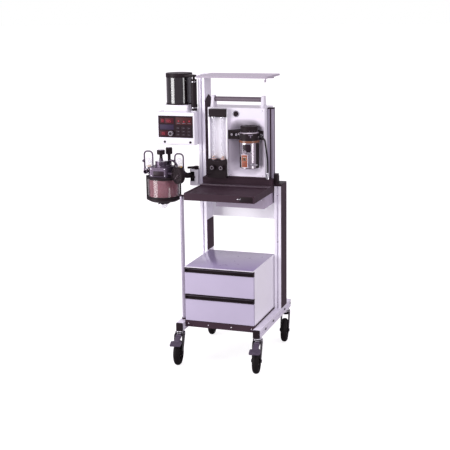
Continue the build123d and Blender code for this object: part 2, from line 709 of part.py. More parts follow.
def breathing_port(side):
    """Hose port of a valve: a collar, then the bored spigot that the hose slides over."""
    x, y = VALVES[side]
    collar = PORT_COLLAR[side]
    mouth = collar + PORT_LENGTH
    spigot = along_y(0, -mouth, 0, PORT_Z, PORT_R) + along_y(0, -collar, 0, PORT_Z, PORT_R + 3)
    spigot = spigot - along_y(0, -mouth - 1, -collar, PORT_Z, PORT_R - 2)
    return Pos(x, y, 0) * Rot(0, 0, PORT_TURN[side]) * spigot


def absorber_head():
    """Machined head block with its valve seats, the left breathing port and the gauge's stem."""
    head = rounded(head_block(), Axis.Z, 16)
    disk = post(ABS_X, ABS_Y, HEAD_Z1, 953, 44) + post(*APL, 953, 972, 30)
    necks = post(*APL, 972, 986, 10) + post(*SELECTOR, HEAD_Z1, 968, 12)
    body = head + disk + necks
    for side, (x, y) in VALVES.items():
        seat = post(x, y, 906, VALVE_SEAT_Z, 20)
        body = body + valve_wing(side) + seat
        body = body + block(x - 20, x + 20, y - 5, y + 5, 918, 926)
        for foot in (x - 23, x + 23):
            body = body + block(foot - 4, foot + 4, y - 5, y + 5, 918, BAIL_FOOT)
    stem = rod((-325, 0, GAUGE_C[2]), (0.866, -0.5, 0), 6, 42)
    stem = stem - gauge_plane(-20) * Cylinder(GAUGE_R, 40, align=(Align.CENTER, Align.CENTER, Align.MIN))
    return body + stem + breathing_port("left") - spindle_bores()


def spindle_bores():
    """Holes that the two knobs' spindles turn in."""
    return [post(*APL, 960, 990, 5), post(*SELECTOR, 950, 972, 5)]


def valve_bail(x, y, top):
    """Bent-wire bail over a valve dome, with the ball of its clamp screw."""
    z = BAIL_FOOT
    path = FilletPolyline((x - 23, y, z), (x - 23, y, top), (x + 23, y, top), (x + 23, y, z), radius=18)
    wire = sweep(Plane(origin=(x - 23, y, z), z_dir=(0, 0, 1)) * Circle(BAIL_R), path=path)
    ball = Pos(x - 27, y - 3, VALVE_SEAT_Z + 32) * Sphere(7)
    return wire + ball


def valve_domes():
    """Clear domes over the two one-way valves."""
    parts = []
    for x, y in VALVES.values():
        z = VALVE_SEAT_Z
        dome = post(x, y, z, z + 34, DOME_R) + Pos(x, y, z + 34) * Sphere(DOME_R)
        hollow = post(x, y, z - 1, z + 34, DOME_R - 2) + Pos(x, y, z + 34) * Sphere(DOME_R - 2)
        parts.append(dome - hollow)
    return group(*parts)


def spindle_knob(x, y, neck_top, head_z0, head_z1, radius, teeth):
    """Fluted knob on a spindle that turns in the head."""
    knob = Pos(x, y, head_z0) * knurled(radius, head_z1 - head_z0, teeth, 0.9)
    spindle = post(x, y, neck_top - 10, head_z0 + 1, 5 - FIT)
    collar = post(x, y, neck_top + GAP, head_z0 + 1, 8)
    return knob + spindle + collar


def apl_knob():
    return spindle_knob(*APL, 986, 1007, 1029, 20.5, 10)


def selector_knob():
    return spindle_knob(*SELECTOR, 968, 1004, 1038, 17, 8)


def absorber_frame():
    """Black flanges above and below the canister, joined by three tie rods."""
    x, y = ABS_X, ABS_Y
    top = post(x, y, GLASS_Z1, HEAD_Z0, FLANGE_R)
    top = fillet(top.edges().group_by(Axis.Z)[-1], 3)
    low = GLASS_Z0 - 38
    bottom = turned(x, y, [(0, low), (28, low), (32, low + 12), (70, low + 15), (FLANGE_R, low + 26),
                           (FLANGE_R, GLASS_Z0), (0, GLASS_Z0)])
    tie = [post(x + 85 * cos(radians(a)), y + 85 * sin(radians(a)), GLASS_Z0 - 4, GLASS_Z1 + 4, 3.5)
           for a in (20, 110, 200)]
    return top + bottom + tie


def absorber_canister():
    wall = post(ABS_X, ABS_Y, GLASS_Z0, GLASS_Z1, GLASS_R)
    return wall - post(ABS_X, ABS_Y, GLASS_Z0 - 1, GLASS_Z1 + 1, GLASS_R - 4)


def absorbent():
    """Fill of granules."""
    return post(ABS_X, ABS_Y, GLASS_Z0, GLASS_Z1 - 4, GLASS_R - 4)


def dust_cup():
    """Clear dust and water cup under the canister."""
    x = ABS_X - 6
    top = GLASS_Z0 - 38
    low = top - 24
    return turned(x, ABS_Y, [(0, low), (18, low), (24, low + 6), (24, top), (22, top), (22, low + 7),
                             (17, low + 2.5), (0, low + 2.5)])


# ---------------------------------------------------------------- pressure gauge
def gauge_plane(distance):
    """Plane parallel to the gauge's face, some way in front of the case's centre."""
    facing = Vector(*GAUGE_FACING).normalized()
    return Plane(origin=Vector(*GAUGE_C) + facing * distance, x_dir=(0.866, -0.5, 0), z_dir=facing)


def airway_gauge():
    """Round black case with a recessed face."""
    case = gauge_plane(-GAUGE_T / 2) * Cylinder(GAUGE_R, GAUGE_T, align=(Align.CENTER, Align.CENTER, Align.MIN))
    case = fillet(case.edges().filter_by(GeomType.CIRCLE), 2.5)
    recess = gauge_plane(GAUGE_T / 2 - 6) * Cylinder(GAUGE_R - 5, 10, align=(Align.CENTER, Align.CENTER, Align.MIN))
    hub = gauge_plane(GAUGE_T / 2 - 7) * Cylinder(1.5, 4.5, align=(Align.CENTER, Align.CENTER, Align.MIN))
    return case - recess + hub


def gauge_pointer():
    """Pointer on the gauge's hub."""
    plate = gauge_plane(GAUGE_T / 2 - 5)
    boss = Cylinder(3.5, 2, align=(Align.CENTER, Align.CENTER, Align.MIN))
    needle = Rot(0, 0, 225) * Pos(12, 0, 0) * Box(34, 1.6, 1.2, align=(Align.CENTER, Align.CENTER, Align.MIN))
    hole = Cylinder(1.5 + FIT, 20)
    return plate * (boss + needle - hole)


# ---------------------------------------------------------------- the whole machine
def make_parts():
    """Every node's shape, before the move to the origin."""
    parts = {}
    parts["side_rails"] = group(rail(-1), rail(1))
    parts["caster_sockets"] = group(*[
        caster_socket(x, y, RAIL_FRONT if y < 0 else RAIL_REAR, -1 if y < 0 else 1) for x, y in CASTERS.values()])
    parts["base_deck"] = base_deck()
    for name, (x, y) in CASTERS.items():
        braked = name.startswith("front")
        fork = caster_fork() + pedal_pin() if braked else caster_fork()
        parts["caster_fork_" + name] = place_caster(fork, x, y)
        parts["caster_wheel_" + name] = place_caster(caster_wheel(), x, y)
        if braked:
            parts["brake_pedal_" + name] = place_caster(brake_pedal(), x, y)
    parts["columns"] = group(column(-RAIL_X, LEFT_COLUMN_TOP), column(RAIL_X, RIGHT_COLUMN_TOP))
    parts["posts"] = posts()
    parts["column_covers"] = column_covers()
    parts["rear_panels"] = rear_panels()
    parts["drawer_cabinet"] = drawer_cabinet()
    for name, z0 in (("upper", UPPER_DRAWER_Z), ("lower", LOWER_DRAWER_Z)):
        parts[name + "_drawer"] = drawer(z0)
        parts[name + "_drawer_handle"] = drawer_handle(z0)
    parts["worktop"] = worktop()
    parts["plinth"] = plinth()
    parts["under_box"] = under_box()
    parts["gas_cabinet"] = gas_cabinet()
    parts["handle_tube"] = handle_tube()
    parts["top_shelf"] = top_shelf()
    parts["flow_blocks"] = flow_blocks()
    parts["flow_tubes"] = flow_tubes()
    for name, x in zip(("oxygen", "second_gas"), TUBE_X):
        parts["flow_float_" + name] = flow_float(x)
        parts["flow_knob_" + name] = flow_knob(x)
    parts["flush_button"] = flush_button()
    parts["vaporizer_manifold"] = vaporizer_manifold()
    parts["vaporizer_body"] = vaporizer_body() + lever_boss()
    parts["vaporizer_dial"] = vaporizer_dial()
    parts["filler_lever"] = filler_lever()
    parts["fresh_gas_hose"] = fresh_gas_hose()
    parts["gas_fittings"] = gas_fittings()
    parts["ventilator_case"] = ventilator_case()
    parts["ventilator_panel"] = ventilator_panel()
    parts["ventilator_knob"] = ventilator_knob()
    parts["bellows_canister"] = bellows_canister()
    parts["bellows_lid"] = bellows_lid()
    parts["bellows"] = bellows()
    parts["arm_bracket"] = arm_bracket()
    parts["clamp_lever"] = clamp_lever()
    parts["absorber_arm"] = absorber_arm()
    parts["airway_gauge"] = airway_gauge()
    parts["gauge_pointer"] = gauge_pointer()
    bails = [valve_bail(x, y, BAIL_TOP[side]) for side, (x, y) in VALVES.items()]
    head = absorber_head()
    parts["absorber_head"] = group(head, breathing_port("right") - head, *bails)
    parts["valve_domes"] = valve_domes()
    parts["apl_knob"] = apl_knob()
    parts["selector_knob"] = selector_knob()
    parts["absorber_frame"] = absorber_frame()
    parts["absorber_canister"] = absorber_canister()
    parts["absorbent"] = absorbent()
    parts["dust_cup"] = dust_cup()
    return parts


def origin_of(parts):
    """Bottom centre of the box round every part."""
    boxes = [part.bounding_box() for part in parts.values()]
    low = Vector(*[min(getattr(b.min, k) for b in boxes) for k in "XYZ"])
    high = Vector(*[max(getattr(b.max, k) for b in boxes) for k in "XYZ"])
    return Vector(round((low.X + high.X) / 2, 1), round((low.Y + high.Y) / 2, 1), round(low.Z, 1))


def main():
    os.makedirs("parts", exist_ok=True)
    parts = make_parts()
    origin = origin_of(parts)
    for name, part in parts.items():
        moved = [solid.moved(Location(-origin)) for solid in part.solids()]
        export_step(Compound(moved), f"parts/{name}.step")
    print("origin", origin, "nodes", len(parts))


if __name__ == "__main__":
    main()
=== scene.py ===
import bpy, bmesh, json
from math import sin, cos, radians, pi, hypot
from random import Random
from mathutils import Matrix, Vector


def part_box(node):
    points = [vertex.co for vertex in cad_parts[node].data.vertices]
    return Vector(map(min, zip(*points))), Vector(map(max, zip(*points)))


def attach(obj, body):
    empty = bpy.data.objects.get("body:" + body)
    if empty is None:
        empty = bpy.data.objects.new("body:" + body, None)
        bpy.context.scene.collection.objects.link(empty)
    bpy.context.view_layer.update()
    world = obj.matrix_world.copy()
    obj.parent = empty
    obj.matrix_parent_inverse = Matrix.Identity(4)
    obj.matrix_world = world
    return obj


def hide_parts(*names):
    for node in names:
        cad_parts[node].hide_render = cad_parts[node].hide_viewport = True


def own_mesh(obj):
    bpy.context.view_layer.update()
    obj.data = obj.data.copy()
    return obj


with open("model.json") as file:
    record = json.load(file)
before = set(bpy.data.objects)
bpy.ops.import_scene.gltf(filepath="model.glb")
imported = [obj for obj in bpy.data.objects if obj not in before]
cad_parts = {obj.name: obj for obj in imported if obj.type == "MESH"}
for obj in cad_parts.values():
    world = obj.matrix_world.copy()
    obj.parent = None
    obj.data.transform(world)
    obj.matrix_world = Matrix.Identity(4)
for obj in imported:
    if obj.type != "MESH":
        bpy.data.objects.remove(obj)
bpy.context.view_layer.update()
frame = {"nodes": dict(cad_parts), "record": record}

# All sizes below are millimetres about the trolley's centre line, as at() takes them.
# The columns' lowest corner gives where that centre line is in the frame.
MM = 0.001
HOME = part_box("columns")[0] - Vector((-218, 157, 0)) * MM
HOME.z = 0


def at(x, y, z):
    return Vector((x, y, z)) * MM + HOME


def srgb(r, g, b):
    """Linear colour of an 8-bit one."""
    def one(v):
        v = v / 255
        return v / 12.92 if v <= 0.04045 else ((v + 0.055) / 1.055) ** 2.4
    return (one(r), one(g), one(b), 1.0)


# ---------------------------------------------------------------- materials
PLASTIC_IOR = 1.5


class Finish:
    """A procedural material: colour patches, worn edges, uneven gloss, fine grain and rounded edges."""

    def __init__(self, name, color, rough=0.5, metal=0.0, patch=0.05, grain=900, depth=0.02, smear=0.08,
                 stretch=(1, 1, 1), wear=0.0, worn=None, edge=0.6, coat=0.0, alpha=1.0, glow=0.0,
                 bands=None, specular=0.5, rim_alpha=None, coat_ior=PLASTIC_IOR):
        """grain is per metre, edge and depth are mm; rim_alpha is the alpha of glass seen at a slant."""
        self.mat = bpy.data.materials.new(name)
        self.mat.use_nodes = True
        self.tree = self.mat.node_tree
        self.tree.nodes.clear()
        out = self.tree.nodes.new("ShaderNodeOutputMaterial")
        shader = self.tree.nodes.new("ShaderNodeBsdfPrincipled")
        self.shader = shader
        self.link(shader.outputs["BSDF"], out.inputs["Surface"])
        place = self.add("ShaderNodeTexCoord").outputs["Object"]
        long = self.add("ShaderNodeMapping", Vector=place, Scale=stretch).outputs[0]
        # colour
        cloud = self.add("ShaderNodeTexNoise", Vector=place, Scale=7.0, Detail=3.0).outputs["Fac"]
        fine = self.add("ShaderNodeTexNoise", Vector=long, Scale=grain * 0.35, Detail=2.0).outputs["Fac"]
        both = self.math("ADD", self.math("MULTIPLY", cloud, 0.65), self.math("MULTIPLY", fine, 0.35))
        dark = tuple(c * (1 - patch) for c in color[:3]) + (1,)
        light = tuple(min(1, c * (1 + patch) + patch * 0.01) for c in color[:3]) + (1,)
        tint = self.mix(self.spread(both, 0.35, 0.65), dark, light)
        if bands:
            tint = self.banded(tint, place, **bands)
        rounded = self.add("ShaderNodeBevel", Radius=edge * MM, samples=4).outputs["Normal"]
        if wear:
            flat = self.add("ShaderNodeNewGeometry").outputs["Normal"]
            turn = self.add("ShaderNodeVectorMath", operation="DOT_PRODUCT")
            self.link(rounded, turn.inputs[0])
            self.link(flat, turn.inputs[1])
            rim = self.spread(turn.outputs["Value"], 0.985, 0.93)
            chips = self.spread(self.add("ShaderNodeTexNoise", Vector=place, Scale=60.0, Detail=4.0)
                                .outputs["Fac"], 0.45, 0.62)
            amount = self.math("MULTIPLY", self.math("MULTIPLY", rim, chips), wear)
            tint = self.mix(amount, tint, worn or light)
        self.link(tint, shader.inputs["Base Color"])
        # gloss
        smudge = self.add("ShaderNodeTexNoise", Vector=place, Scale=23.0, Detail=5.0, Roughness=0.7)
        gloss = self.math("MULTIPLY_ADD", self.spread(smudge.outputs["Fac"], 0.3, 0.7), smear)
        gloss.node.inputs[2].default_value = max(0.02, rough - smear / 2)
        self.link(gloss, shader.inputs["Roughness"])
        # grain
        rub = self.add("ShaderNodeTexNoise", Vector=long, Scale=float(grain), Detail=3.0).outputs["Fac"]
        bump = self.add("ShaderNodeBump", Height=rub, Normal=rounded, Strength=0.5, Distance=depth * MM)
        self.link(bump.outputs[0], shader.inputs["Normal"])
        shader.inputs["Metallic"].default_value = metal
        shader.inputs["Coat Weight"].default_value = coat
        shader.inputs["Coat Roughness"].default_value = 0.1
        shader.inputs["Coat IOR"].default_value = coat_ior
        shader.inputs["IOR"].default_value = PLASTIC_IOR
        shader.inputs["Alpha"].default_value = alpha
        shader.inputs["Specular IOR Level"].default_value = specular
        if rim_alpha:
            facing = self.add("ShaderNodeLayerWeight", Blend=0.5).outputs["Facing"]
            veil = self.math("MULTIPLY_ADD", self.spread(facing, 0.5, 0.8), rim_alpha - alpha)
            veil.node.inputs[2].default_value = alpha
            self.link(veil, shader.inputs["Alpha"])
        if glow:
            shader.inputs["Emission Color"].default_value = color
            shader.inputs["Emission Strength"].default_value = glow

    def add(self, kind, **values):
        node = self.tree.nodes.new(kind)
        for key, value in values.items():
            if key in node.inputs:
                if isinstance(value, bpy.types.NodeSocket):
                    self.link(value, node.inputs[key])
                else:
                    node.inputs[key].default_value = value
            else:
                setattr(node, key, value)
        return node

    def link(self, a, b):
        self.tree.links.new(a, b)

    def math(self, operation, a, b):
        node = self.add("ShaderNodeMath", operation=operation)
        for socket, value in zip(node.inputs, (a, b)):
            if isinstance(value, bpy.types.NodeSocket):
                self.link(value, socket)
            else:
                socket.default_value = value
        return node.outputs[0]

    def spread(self, value, low, high):
        """0 at low and 1 at high, held there outside them."""
        node = self.add("ShaderNodeMapRange", Value=value)
        node.inputs["From Min"].default_value = low
        node.inputs["From Max"].default_value = high
        return node.outputs[0]

    def mix(self, amount, a, b):
        node = self.add("ShaderNodeMix", data_type="RGBA")
        for socket, value in ((node.inputs[0], amount), (node.inputs[6], a), (node.inputs[7], b)):
            if isinstance(value, bpy.types.NodeSocket):
                self.link(value, socket)
            else:
                socket.default_value = value
        return node.outputs[2]

    def banded(self, tint, place, color, size):
        """Crumbs of a second colour, size mm across."""
        cells = self.add("ShaderNodeTexVoronoi", Vector=place, Scale=1000.0 / size)
        pick = self.add("ShaderNodeSeparateColor", Color=cells.outputs["Color"]).outputs[0]
        return self.mix(self.spread(pick, 0.25, 0.75), tint, color)


WHITE = srgb(228, 224, 233)
LAVENDER = srgb(178, 169, 192)
DARK = srgb(58, 42, 51)
INK = srgb(34, 25, 29)

finishes = {
    "rail_aluminium": dict(color=srgb(222, 216, 230), rough=0.4, metal=0.25, patch=0.03, grain=700,
                           depth=0.012, stretch=(14, 14, 0.6)),
    "post_aluminium": dict(color=srgb(164, 156, 172), rough=0.38, metal=0.5, patch=0.04, grain=700,
                           depth=0.012, stretch=(14, 14, 0.6)),
    "white_paint": dict(color=WHITE, rough=0.38, patch=0.018, grain=1500, depth=0.02, wear=0.35,
                        worn=srgb(176, 168, 182), coat=0.2, edge=0.8),
    "drawer_paint": dict(color=LAVENDER, rough=0.36, patch=0.03, grain=1500, depth=0.02, wear=0.4,
                         worn=srgb(236, 232, 240), coat=0.2, edge=0.8),
    "shelf_paint": dict(color=srgb(168, 158, 172), rough=0.42, patch=0.04, grain=1500, depth=0.02, wear=0.5,
                        worn=srgb(214, 208, 218), edge=0.8),
    "handle_coat": dict(color=srgb(108, 96, 106), rough=0.4, patch=0.08, grain=1100, depth=0.03, wear=0.5,
                        worn=srgb(168, 160, 168)),
    "dark_paint": dict(color=DARK, rough=0.52, patch=0.14, grain=1100, depth=0.05, wear=0.5, specular=0.1,
                       worn=srgb(112, 96, 108), edge=0.8),
    "grey_paint": dict(color=srgb(158, 146, 164), rough=0.4, patch=0.06, grain=1300, depth=0.02, wear=0.5,
                       worn=srgb(196, 190, 200)),
    "black_plastic": dict(color=INK, rough=0.44, patch=0.2, grain=1400, depth=0.03, wear=0.4, specular=0.1,
                          worn=srgb(70, 62, 70)),
    "white_plastic": dict(color=srgb(234, 231, 238), rough=0.3, patch=0.02, grain=1600, depth=0.01, coat=0.3),
    "clear_glass": dict(color=srgb(232, 228, 240), rough=0.03, smear=0.03, patch=0.01, grain=300, depth=0.002,
                        alpha=0.16, coat=1.0, edge=0.4),
    "smoked_glass": dict(color=srgb(16, 10, 13), rough=0.08, smear=0.06, patch=0.1, grain=300, depth=0.002,
                         alpha=0.94, coat=1.0, coat_ior=1.7, edge=0.4),
    "chrome": dict(color=srgb(222, 220, 226), rough=0.12, smear=0.08, metal=1.0, patch=0.02, grain=500,
                   depth=0.004),
    "head_metal": dict(color=srgb(80, 68, 84), rough=0.3, metal=0.7, patch=0.1, grain=900, depth=0.02,
                       stretch=(1, 1, 12), wear=0.6, worn=srgb(170, 162, 178)),
    "steel": dict(color=srgb(226, 220, 228), rough=0.16, smear=0.08, metal=1.0, patch=0.03, grain=800,
                  depth=0.01, stretch=(0.5, 0.5, 14)),
    "tyre": dict(color=srgb(18, 13, 15), rough=0.6, patch=0.25, grain=700, depth=0.12, smear=0.15, wear=0.3,
                 specular=0.12, worn=srgb(52, 46, 48)),
    "rubber": dict(color=srgb(28, 23, 27), rough=0.5, patch=0.2, grain=900, depth=0.05, specular=0.3),
    "float_metal": dict(color=srgb(206, 142, 70), rough=0.25, metal=0.9, patch=0.08, grain=900, depth=0.01),
    "granules": dict(color=srgb(202, 144, 156), rough=0.75, patch=0.1, grain=1200, depth=0.1, edge=0.3,
                     specular=0.2, bands=dict(color=srgb(216, 168, 178), size=4.0)),
    "pointer_paint": dict(color=srgb(214, 208, 212), rough=0.4, patch=0.03),
    "fork_coat": dict(color=srgb(28, 21, 26), rough=0.34, patch=0.2, grain=1200, depth=0.03, wear=0.5,
                      specular=0.2, worn=srgb(96, 88, 98)),
    "pedal_coat": dict(color=srgb(78, 68, 84), rough=0.36, patch=0.14, grain=1200, depth=0.03, wear=0.6,
                       specular=0.25, worn=srgb(136, 128, 142)),
    "column_aluminium": dict(color=srgb(244, 240, 250), rough=0.45, metal=0.1, patch=0.03, grain=700,
                             depth=0.012, stretch=(14, 14, 0.6)),
    # whiter copy of the white paint for the rear panels: painted light where the worktop shades them
    "panel_painted_light": dict(color=srgb(250, 249, 252), rough=0.45, patch=0.01, grain=1500, depth=0.02),
    "strip_grey": dict(color=srgb(92, 78, 88), rough=0.4, patch=0.08, grain=1200, depth=0.02, specular=0.2,
                       wear=0.4, worn=srgb(140, 128, 138)),
    "absorber_glass": dict(color=srgb(62, 34, 42), rough=0.05, smear=0.04, patch=0.06, grain=300, depth=0.002,
                           alpha=0.2, rim_alpha=0.94, coat=1.0, coat_ior=2.0, edge=0.4),
    "vaporizer_metal": dict(color=srgb(176, 166, 176), rough=0.24, smear=0.08, metal=0.85, patch=0.05,
                            grain=800, depth=0.006, stretch=(1, 1, 0.2)),
    "pointer_grey": dict(color=srgb(120, 108, 114), rough=0.5, patch=0.05, specular=0.2, edge=0.1),
    "ring_grey": dict(color=srgb(128, 118, 128), rough=0.35, patch=0.06, grain=1200, depth=0.01),
    "collar_tan": dict(color=srgb(196, 164, 160), rough=0.35, patch=0.06, grain=1200, depth=0.01),
    "panel_film": dict(color=srgb(40, 26, 32), rough=0.55, patch=0.15, grain=1400, depth=0.02, specular=0.08,
                       edge=0.3),
}
mats = {key: Finish(key, **values).mat for key, values in finishes.items()}
# Small looks of the new pieces, each with its material's name.
details = {
    "orange": ("orange_enamel", dict(color=srgb(150, 74, 44), rough=0.4, patch=0.06, coat=0.15, edge=0.1)),
    "brass": ("turned_brass", dict(color=srgb(208, 158, 78), rough=0.22, metal=1.0, patch=0.06)),
    "glass_dark": ("dark_window", dict(color=srgb(44, 32, 40), rough=0.3, patch=0.2, specular=0.12,
                                       edge=0.1)),
    "red_glow": ("red_segments", dict(color=srgb(150, 46, 60), rough=0.4, specular=0.1, glow=0.12,
                                      edge=0.1)),
    "red_window": ("red_filter", dict(color=srgb(72, 27, 37), rough=0.4, patch=0.15, specular=0.1,
                                      edge=0.1)),
    "violet_film": ("violet_film", dict(color=srgb(56, 44, 66), rough=0.45, patch=0.1, specular=0.1)),
    "key_grey": ("key_film", dict(color=srgb(44, 31, 38), rough=0.45, patch=0.12, specular=0.1)),
    "red_brown": ("red_brown_film", dict(color=srgb(70, 36, 38), rough=0.45, patch=0.12, specular=0.1)),
    "ticks": ("white_marks", dict(color=srgb(238, 236, 240), rough=0.5, patch=0.03, edge=0.1)),
    "dark_marks_and_shade": ("dark_marks_and_shade", dict(color=srgb(70, 62, 74), rough=0.5, patch=0.1, edge=0.1)),
    "grey_marks": ("grey_marks", dict(color=srgb(104, 92, 108), rough=0.5, patch=0.05, edge=0.1)),
    # grey-lavender colour of the cabinet top sheet: painted shade from the worktop and gas cabinet above
    "top_shade_grey": ("grey_top_shade", dict(color=srgb(148, 134, 170), rough=0.3, patch=0.05, grain=1300,
                                       depth=0.02, coat=0.3, edge=0.2)),
    "gauge_black": ("gauge_black", dict(color=srgb(30, 20, 23), rough=0.6, patch=0.2, specular=0.15,
                                        edge=0.1)),
    "gauge_marks": ("gauge_marks", dict(color=srgb(66, 54, 60), rough=0.6, patch=0.05, specular=0.15,
                                        edge=0.1)),
    "gauge_lens": ("gauge_lens", dict(color=srgb(60, 50, 58), rough=0.2, patch=0.02, alpha=0.08,
                                      coat=0.15, specular=0.2, edge=0.1)),
    "disc": ("valve_disc", dict(color=srgb(226, 204, 150), rough=0.4, patch=0.08)),
    "ring_orange": ("ring_enamel", dict(color=srgb(116, 68, 42), rough=0.4, patch=0.06, coat=0.15,
                                        edge=0.1)),
    # lavender copy of the white paint for the niche liner: a painted purple tint for the shade in the niche
    "niche_shade_tint": ("niche_shade_tint", dict(color=srgb(234, 226, 240), rough=0.42, patch=0.02, grain=1500)),
}
mats.update((key, Finish(name, **values).mat) for key, (name, values) in details.items())

record = frame["record"]
slot_of = {part["node"]: part["material_slot"] for part in record["subparts"]}

# Nodes whose finish differs from the other nodes of their slot.
own_look = {"ventilator_knob": "ring_grey", "brake_pedal_front_left": "pedal_coat",
            "brake_pedal_front_right": "pedal_coat", "columns": "column_aluminium",
            "rear_panels": "panel_painted_light", "absorber_canister": "absorber_glass",
            "vaporizer_body": "vaporizer_metal", "gauge_pointer": "pointer_grey",
            "ventilator_panel": "panel_film"}
for node, obj in frame["nodes"].items():
    obj.data.materials.clear()
    obj.data.materials.append(mats[own_look.get(node, slot_of[node])])


# ---------------------------------------------------------------- shapes
HEX_CORNER = 1.155         # a hexagon's corner radius over its flat radius


class Piece:
    """One new piece: solids gathered in a mesh, riding on a body and taking the finishes of its looks, or its
    slot's finish when it has none.
    """

    def __init__(self, name, body, slot, *looks, hides=()):
        self.name, self.body, self.slot, self.hides = name, body, slot, hides
        self.bm = bmesh.new()
        self.looks = [mats[key] for key in (looks or (slot,))]
        self.index = 0

    def look(self, index):
        """Material of the solids that follow."""
        self.index = index
        return self

    def solid(self, made):
        """Put a finished little mesh into the piece."""
        bmesh.ops.recalc_face_normals(made, faces=made.faces)
        for face in made.faces:
            face.material_index = self.index
            face.smooth = True
        holder = bpy.data.meshes.new("holder")
        made.to_mesh(holder)
        self.bm.from_mesh(holder)
        bpy.data.meshes.remove(holder)
        made.free()
        return self

    def brick(self, x0, x1, y0, y1, z0, z1, r=0.5, turn=None):
        made = bmesh.new()
        bmesh.ops.create_cube(made, size=1)
        size = Vector((x1 - x0, y1 - y0, z1 - z0))
        middle = Vector((x0 + x1, y0 + y1, z0 + z1)) / 2
        for v in made.verts:
            v.co = Vector(a * b for a, b in zip(v.co, size))
        r = min(r, min(size) * 0.4)
        if r > 0:
            bmesh.ops.bevel(made, geom=made.edges[:], offset=r, segments=2, affect="EDGES", profile=0.5)
        if turn:
            made.transform(turn)
        self.to_frame(made, Matrix.Translation(middle))
        return self.solid(made)

    def to_frame(self, made, move):
        for v in made.verts:
            v.co = at(*(move @ v.co))

    def lathe(self, foot, axis, profile, n=40, arc=None):
        """Turn a profile of (radius, height) points about an axis through foot."""
        made = bmesh.new()
        z = Vector(axis).normalized()
        x = Vector((1, 0, 0)) if abs(z.x) < 0.9 else Vector((0, 1, 0))
        x = (x - z * x.dot(z)).normalized()
        y = z.cross(x)
        start, end = arc or (0, 360)
        count = n if arc is None else n + 1
        rings = []
        for i in range(count):
            a = radians(start + (end - start) * i / n)
            out = x * cos(a) + y * sin(a)
            rings.append([made.verts.new(at(*(Vector(foot) + out * r + z * h))) for r, h in profile])
        closed = profile[0] == profile[-1]
        for i in range(n):
            a, b = rings[i], rings[(i + 1) % count]
            for j in range(len(profile) - 1):
                made.faces.new((a[j], b[j], b[j + 1], a[j + 1]))
        if arc is not None and closed:
            for ring in (rings[0], rings[-1]):
                made.faces.new(ring[:-1])
        bmesh.ops.remove_doubles(made, verts=made.verts, dist=1e-7)
        return self.solid(made)

    def disc(self, foot, axis, radius, height, r=0.5, n=36):
        """Closed round plate with eased edges."""
        r = min(r, height * 0.4, radius * 0.4)
        return self.lathe(foot, axis, [(0, 0), (radius - r, 0), (radius, r), (radius, height - r),
                                       (radius - r, height), (0, height)], n)

    def ring(self, foot, axis, inner, outer, height, r=0.4, n=40):
        r = min(r, height * 0.4, (outer - inner) * 0.4)
        return self.lathe(foot, axis, [(inner, 0), (outer - r, 0), (outer, r), (outer, height - r),
                                       (outer - r, height), (inner, height), (inner, 0)], n)

    def band(self, foot, inner, outer, z0, z1, start, end, n=12):
        """Part of an upright ring, between two angles."""
        return self.lathe((foot[0], foot[1], 0), (0, 0, 1),
                          [(inner, z0), (outer, z0), (outer, z1), (inner, z1), (inner, z0)], n, (start, end))

    def pipe(self, points, radius, n=14, steps=6):
        """Round tube through smooth points."""
        line = smooth_line([Vector(p) for p in points], steps)
        made = bmesh.new()
        side = None
        rings = []
        for i, p in enumerate(line):
            ahead = (line[min(i + 1, len(line) - 1)] - line[max(i - 1, 0)]).normalized()
            if side is None:
                side = ahead.orthogonal().normalized()
            side = (side - ahead * side.dot(ahead)).normalized()
            other = ahead.cross(side)
            turn = [2 * pi * k / n for k in range(n)]
            rings.append([made.verts.new(at(*(p + (side * cos(a) + other * sin(a)) * radius))) for a in turn])
        for a, b in zip(rings, rings[1:]):
            for k in range(n):
                made.faces.new((a[k], a[(k + 1) % n], b[(k + 1) % n], b[k]))
        made.faces.new(rings[0])
        made.faces.new(rings[-1])
        return self.solid(made)

    def hexagon(self, foot, axis, across, height):
        """Bolt head with a domed washer face."""
        self.disc(foot, axis, across * 0.72, height * 0.2, n=24)
        corner = across / 2 * HEX_CORNER
        return self.lathe(foot, axis, [(0, height * 0.2), (corner, height * 0.2), (corner, height * 0.85),
                                       (across / 2, height), (0, height)], 6)

    def screw(self, foot, axis, radius=3.2):
        """Round screw head with a cross slot cut as a hollow."""
        axis = Vector(axis)
        return self.lathe(foot, axis, [(0, 0), (radius, 0), (radius, 0.5), (radius * 0.8, 1.2),
                                       (radius * 0.4, 1.3), (radius * 0.3, 0.8), (0, 0.8)], 20)

    def done(self):
        mesh = bpy.data.meshes.new(self.name)
        self.bm.to_mesh(mesh)
        self.bm.free()
        mesh.set_sharp_from_angle(angle=radians(32))
        for look in self.looks:
            mesh.materials.append(look)
        obj = bpy.data.objects.new(self.name, mesh)
        bpy.context.scene.collection.objects.link(obj)
        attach(obj, self.body)
        if self.hides:
            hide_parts(*self.hides)
        return obj


def smooth_line(points, steps):
    """Points along a rounded line through these points."""
    if len(points) < 3:
        return points
    line = []
    ends = [2 * points[0] - points[1]] + points + [2 * points[-1] - points[-2]]
    for a, b, c, d in zip(ends, ends[1:], ends[2:], ends[3:]):
        for k in range(steps):
            t = k / steps
            line.append(0.5 * ((2 * b) + (c - a) * t + (2 * a - 5 * b + 4 * c - d) * t * t
                               + (3 * b - a - 3 * c + d) * t ** 3))
    return line + [points[-1]]


UP = (0, 0, 1)
FRONT = (0, -1, 0)
REAR = (0, 1, 0)
LEFT = (-1, 0, 0)

# ---------------------------------------------------------------- casters
SWIVELS = {"front_left": (-203, -198), "front_right": (203, -198), "rear_left": (-203, 294),
           "rear_right": (203, 294)}
TURN = radians(9)          # how far all four forks are turned at rest
AXLE_HEIGHT = 62.5
TRAIL = -45                # the axle behind the swivel
AXLE = (cos(TURN), sin(TURN), 0)


def on_caster(name, x, y, z):
    """A point given about a caster's swivel axis."""
    cx, cy = SWIVELS[name]
    return (cx + x * cos(TURN) - y * sin(TURN), cy + x * sin(TURN) + y * cos(TURN), z)


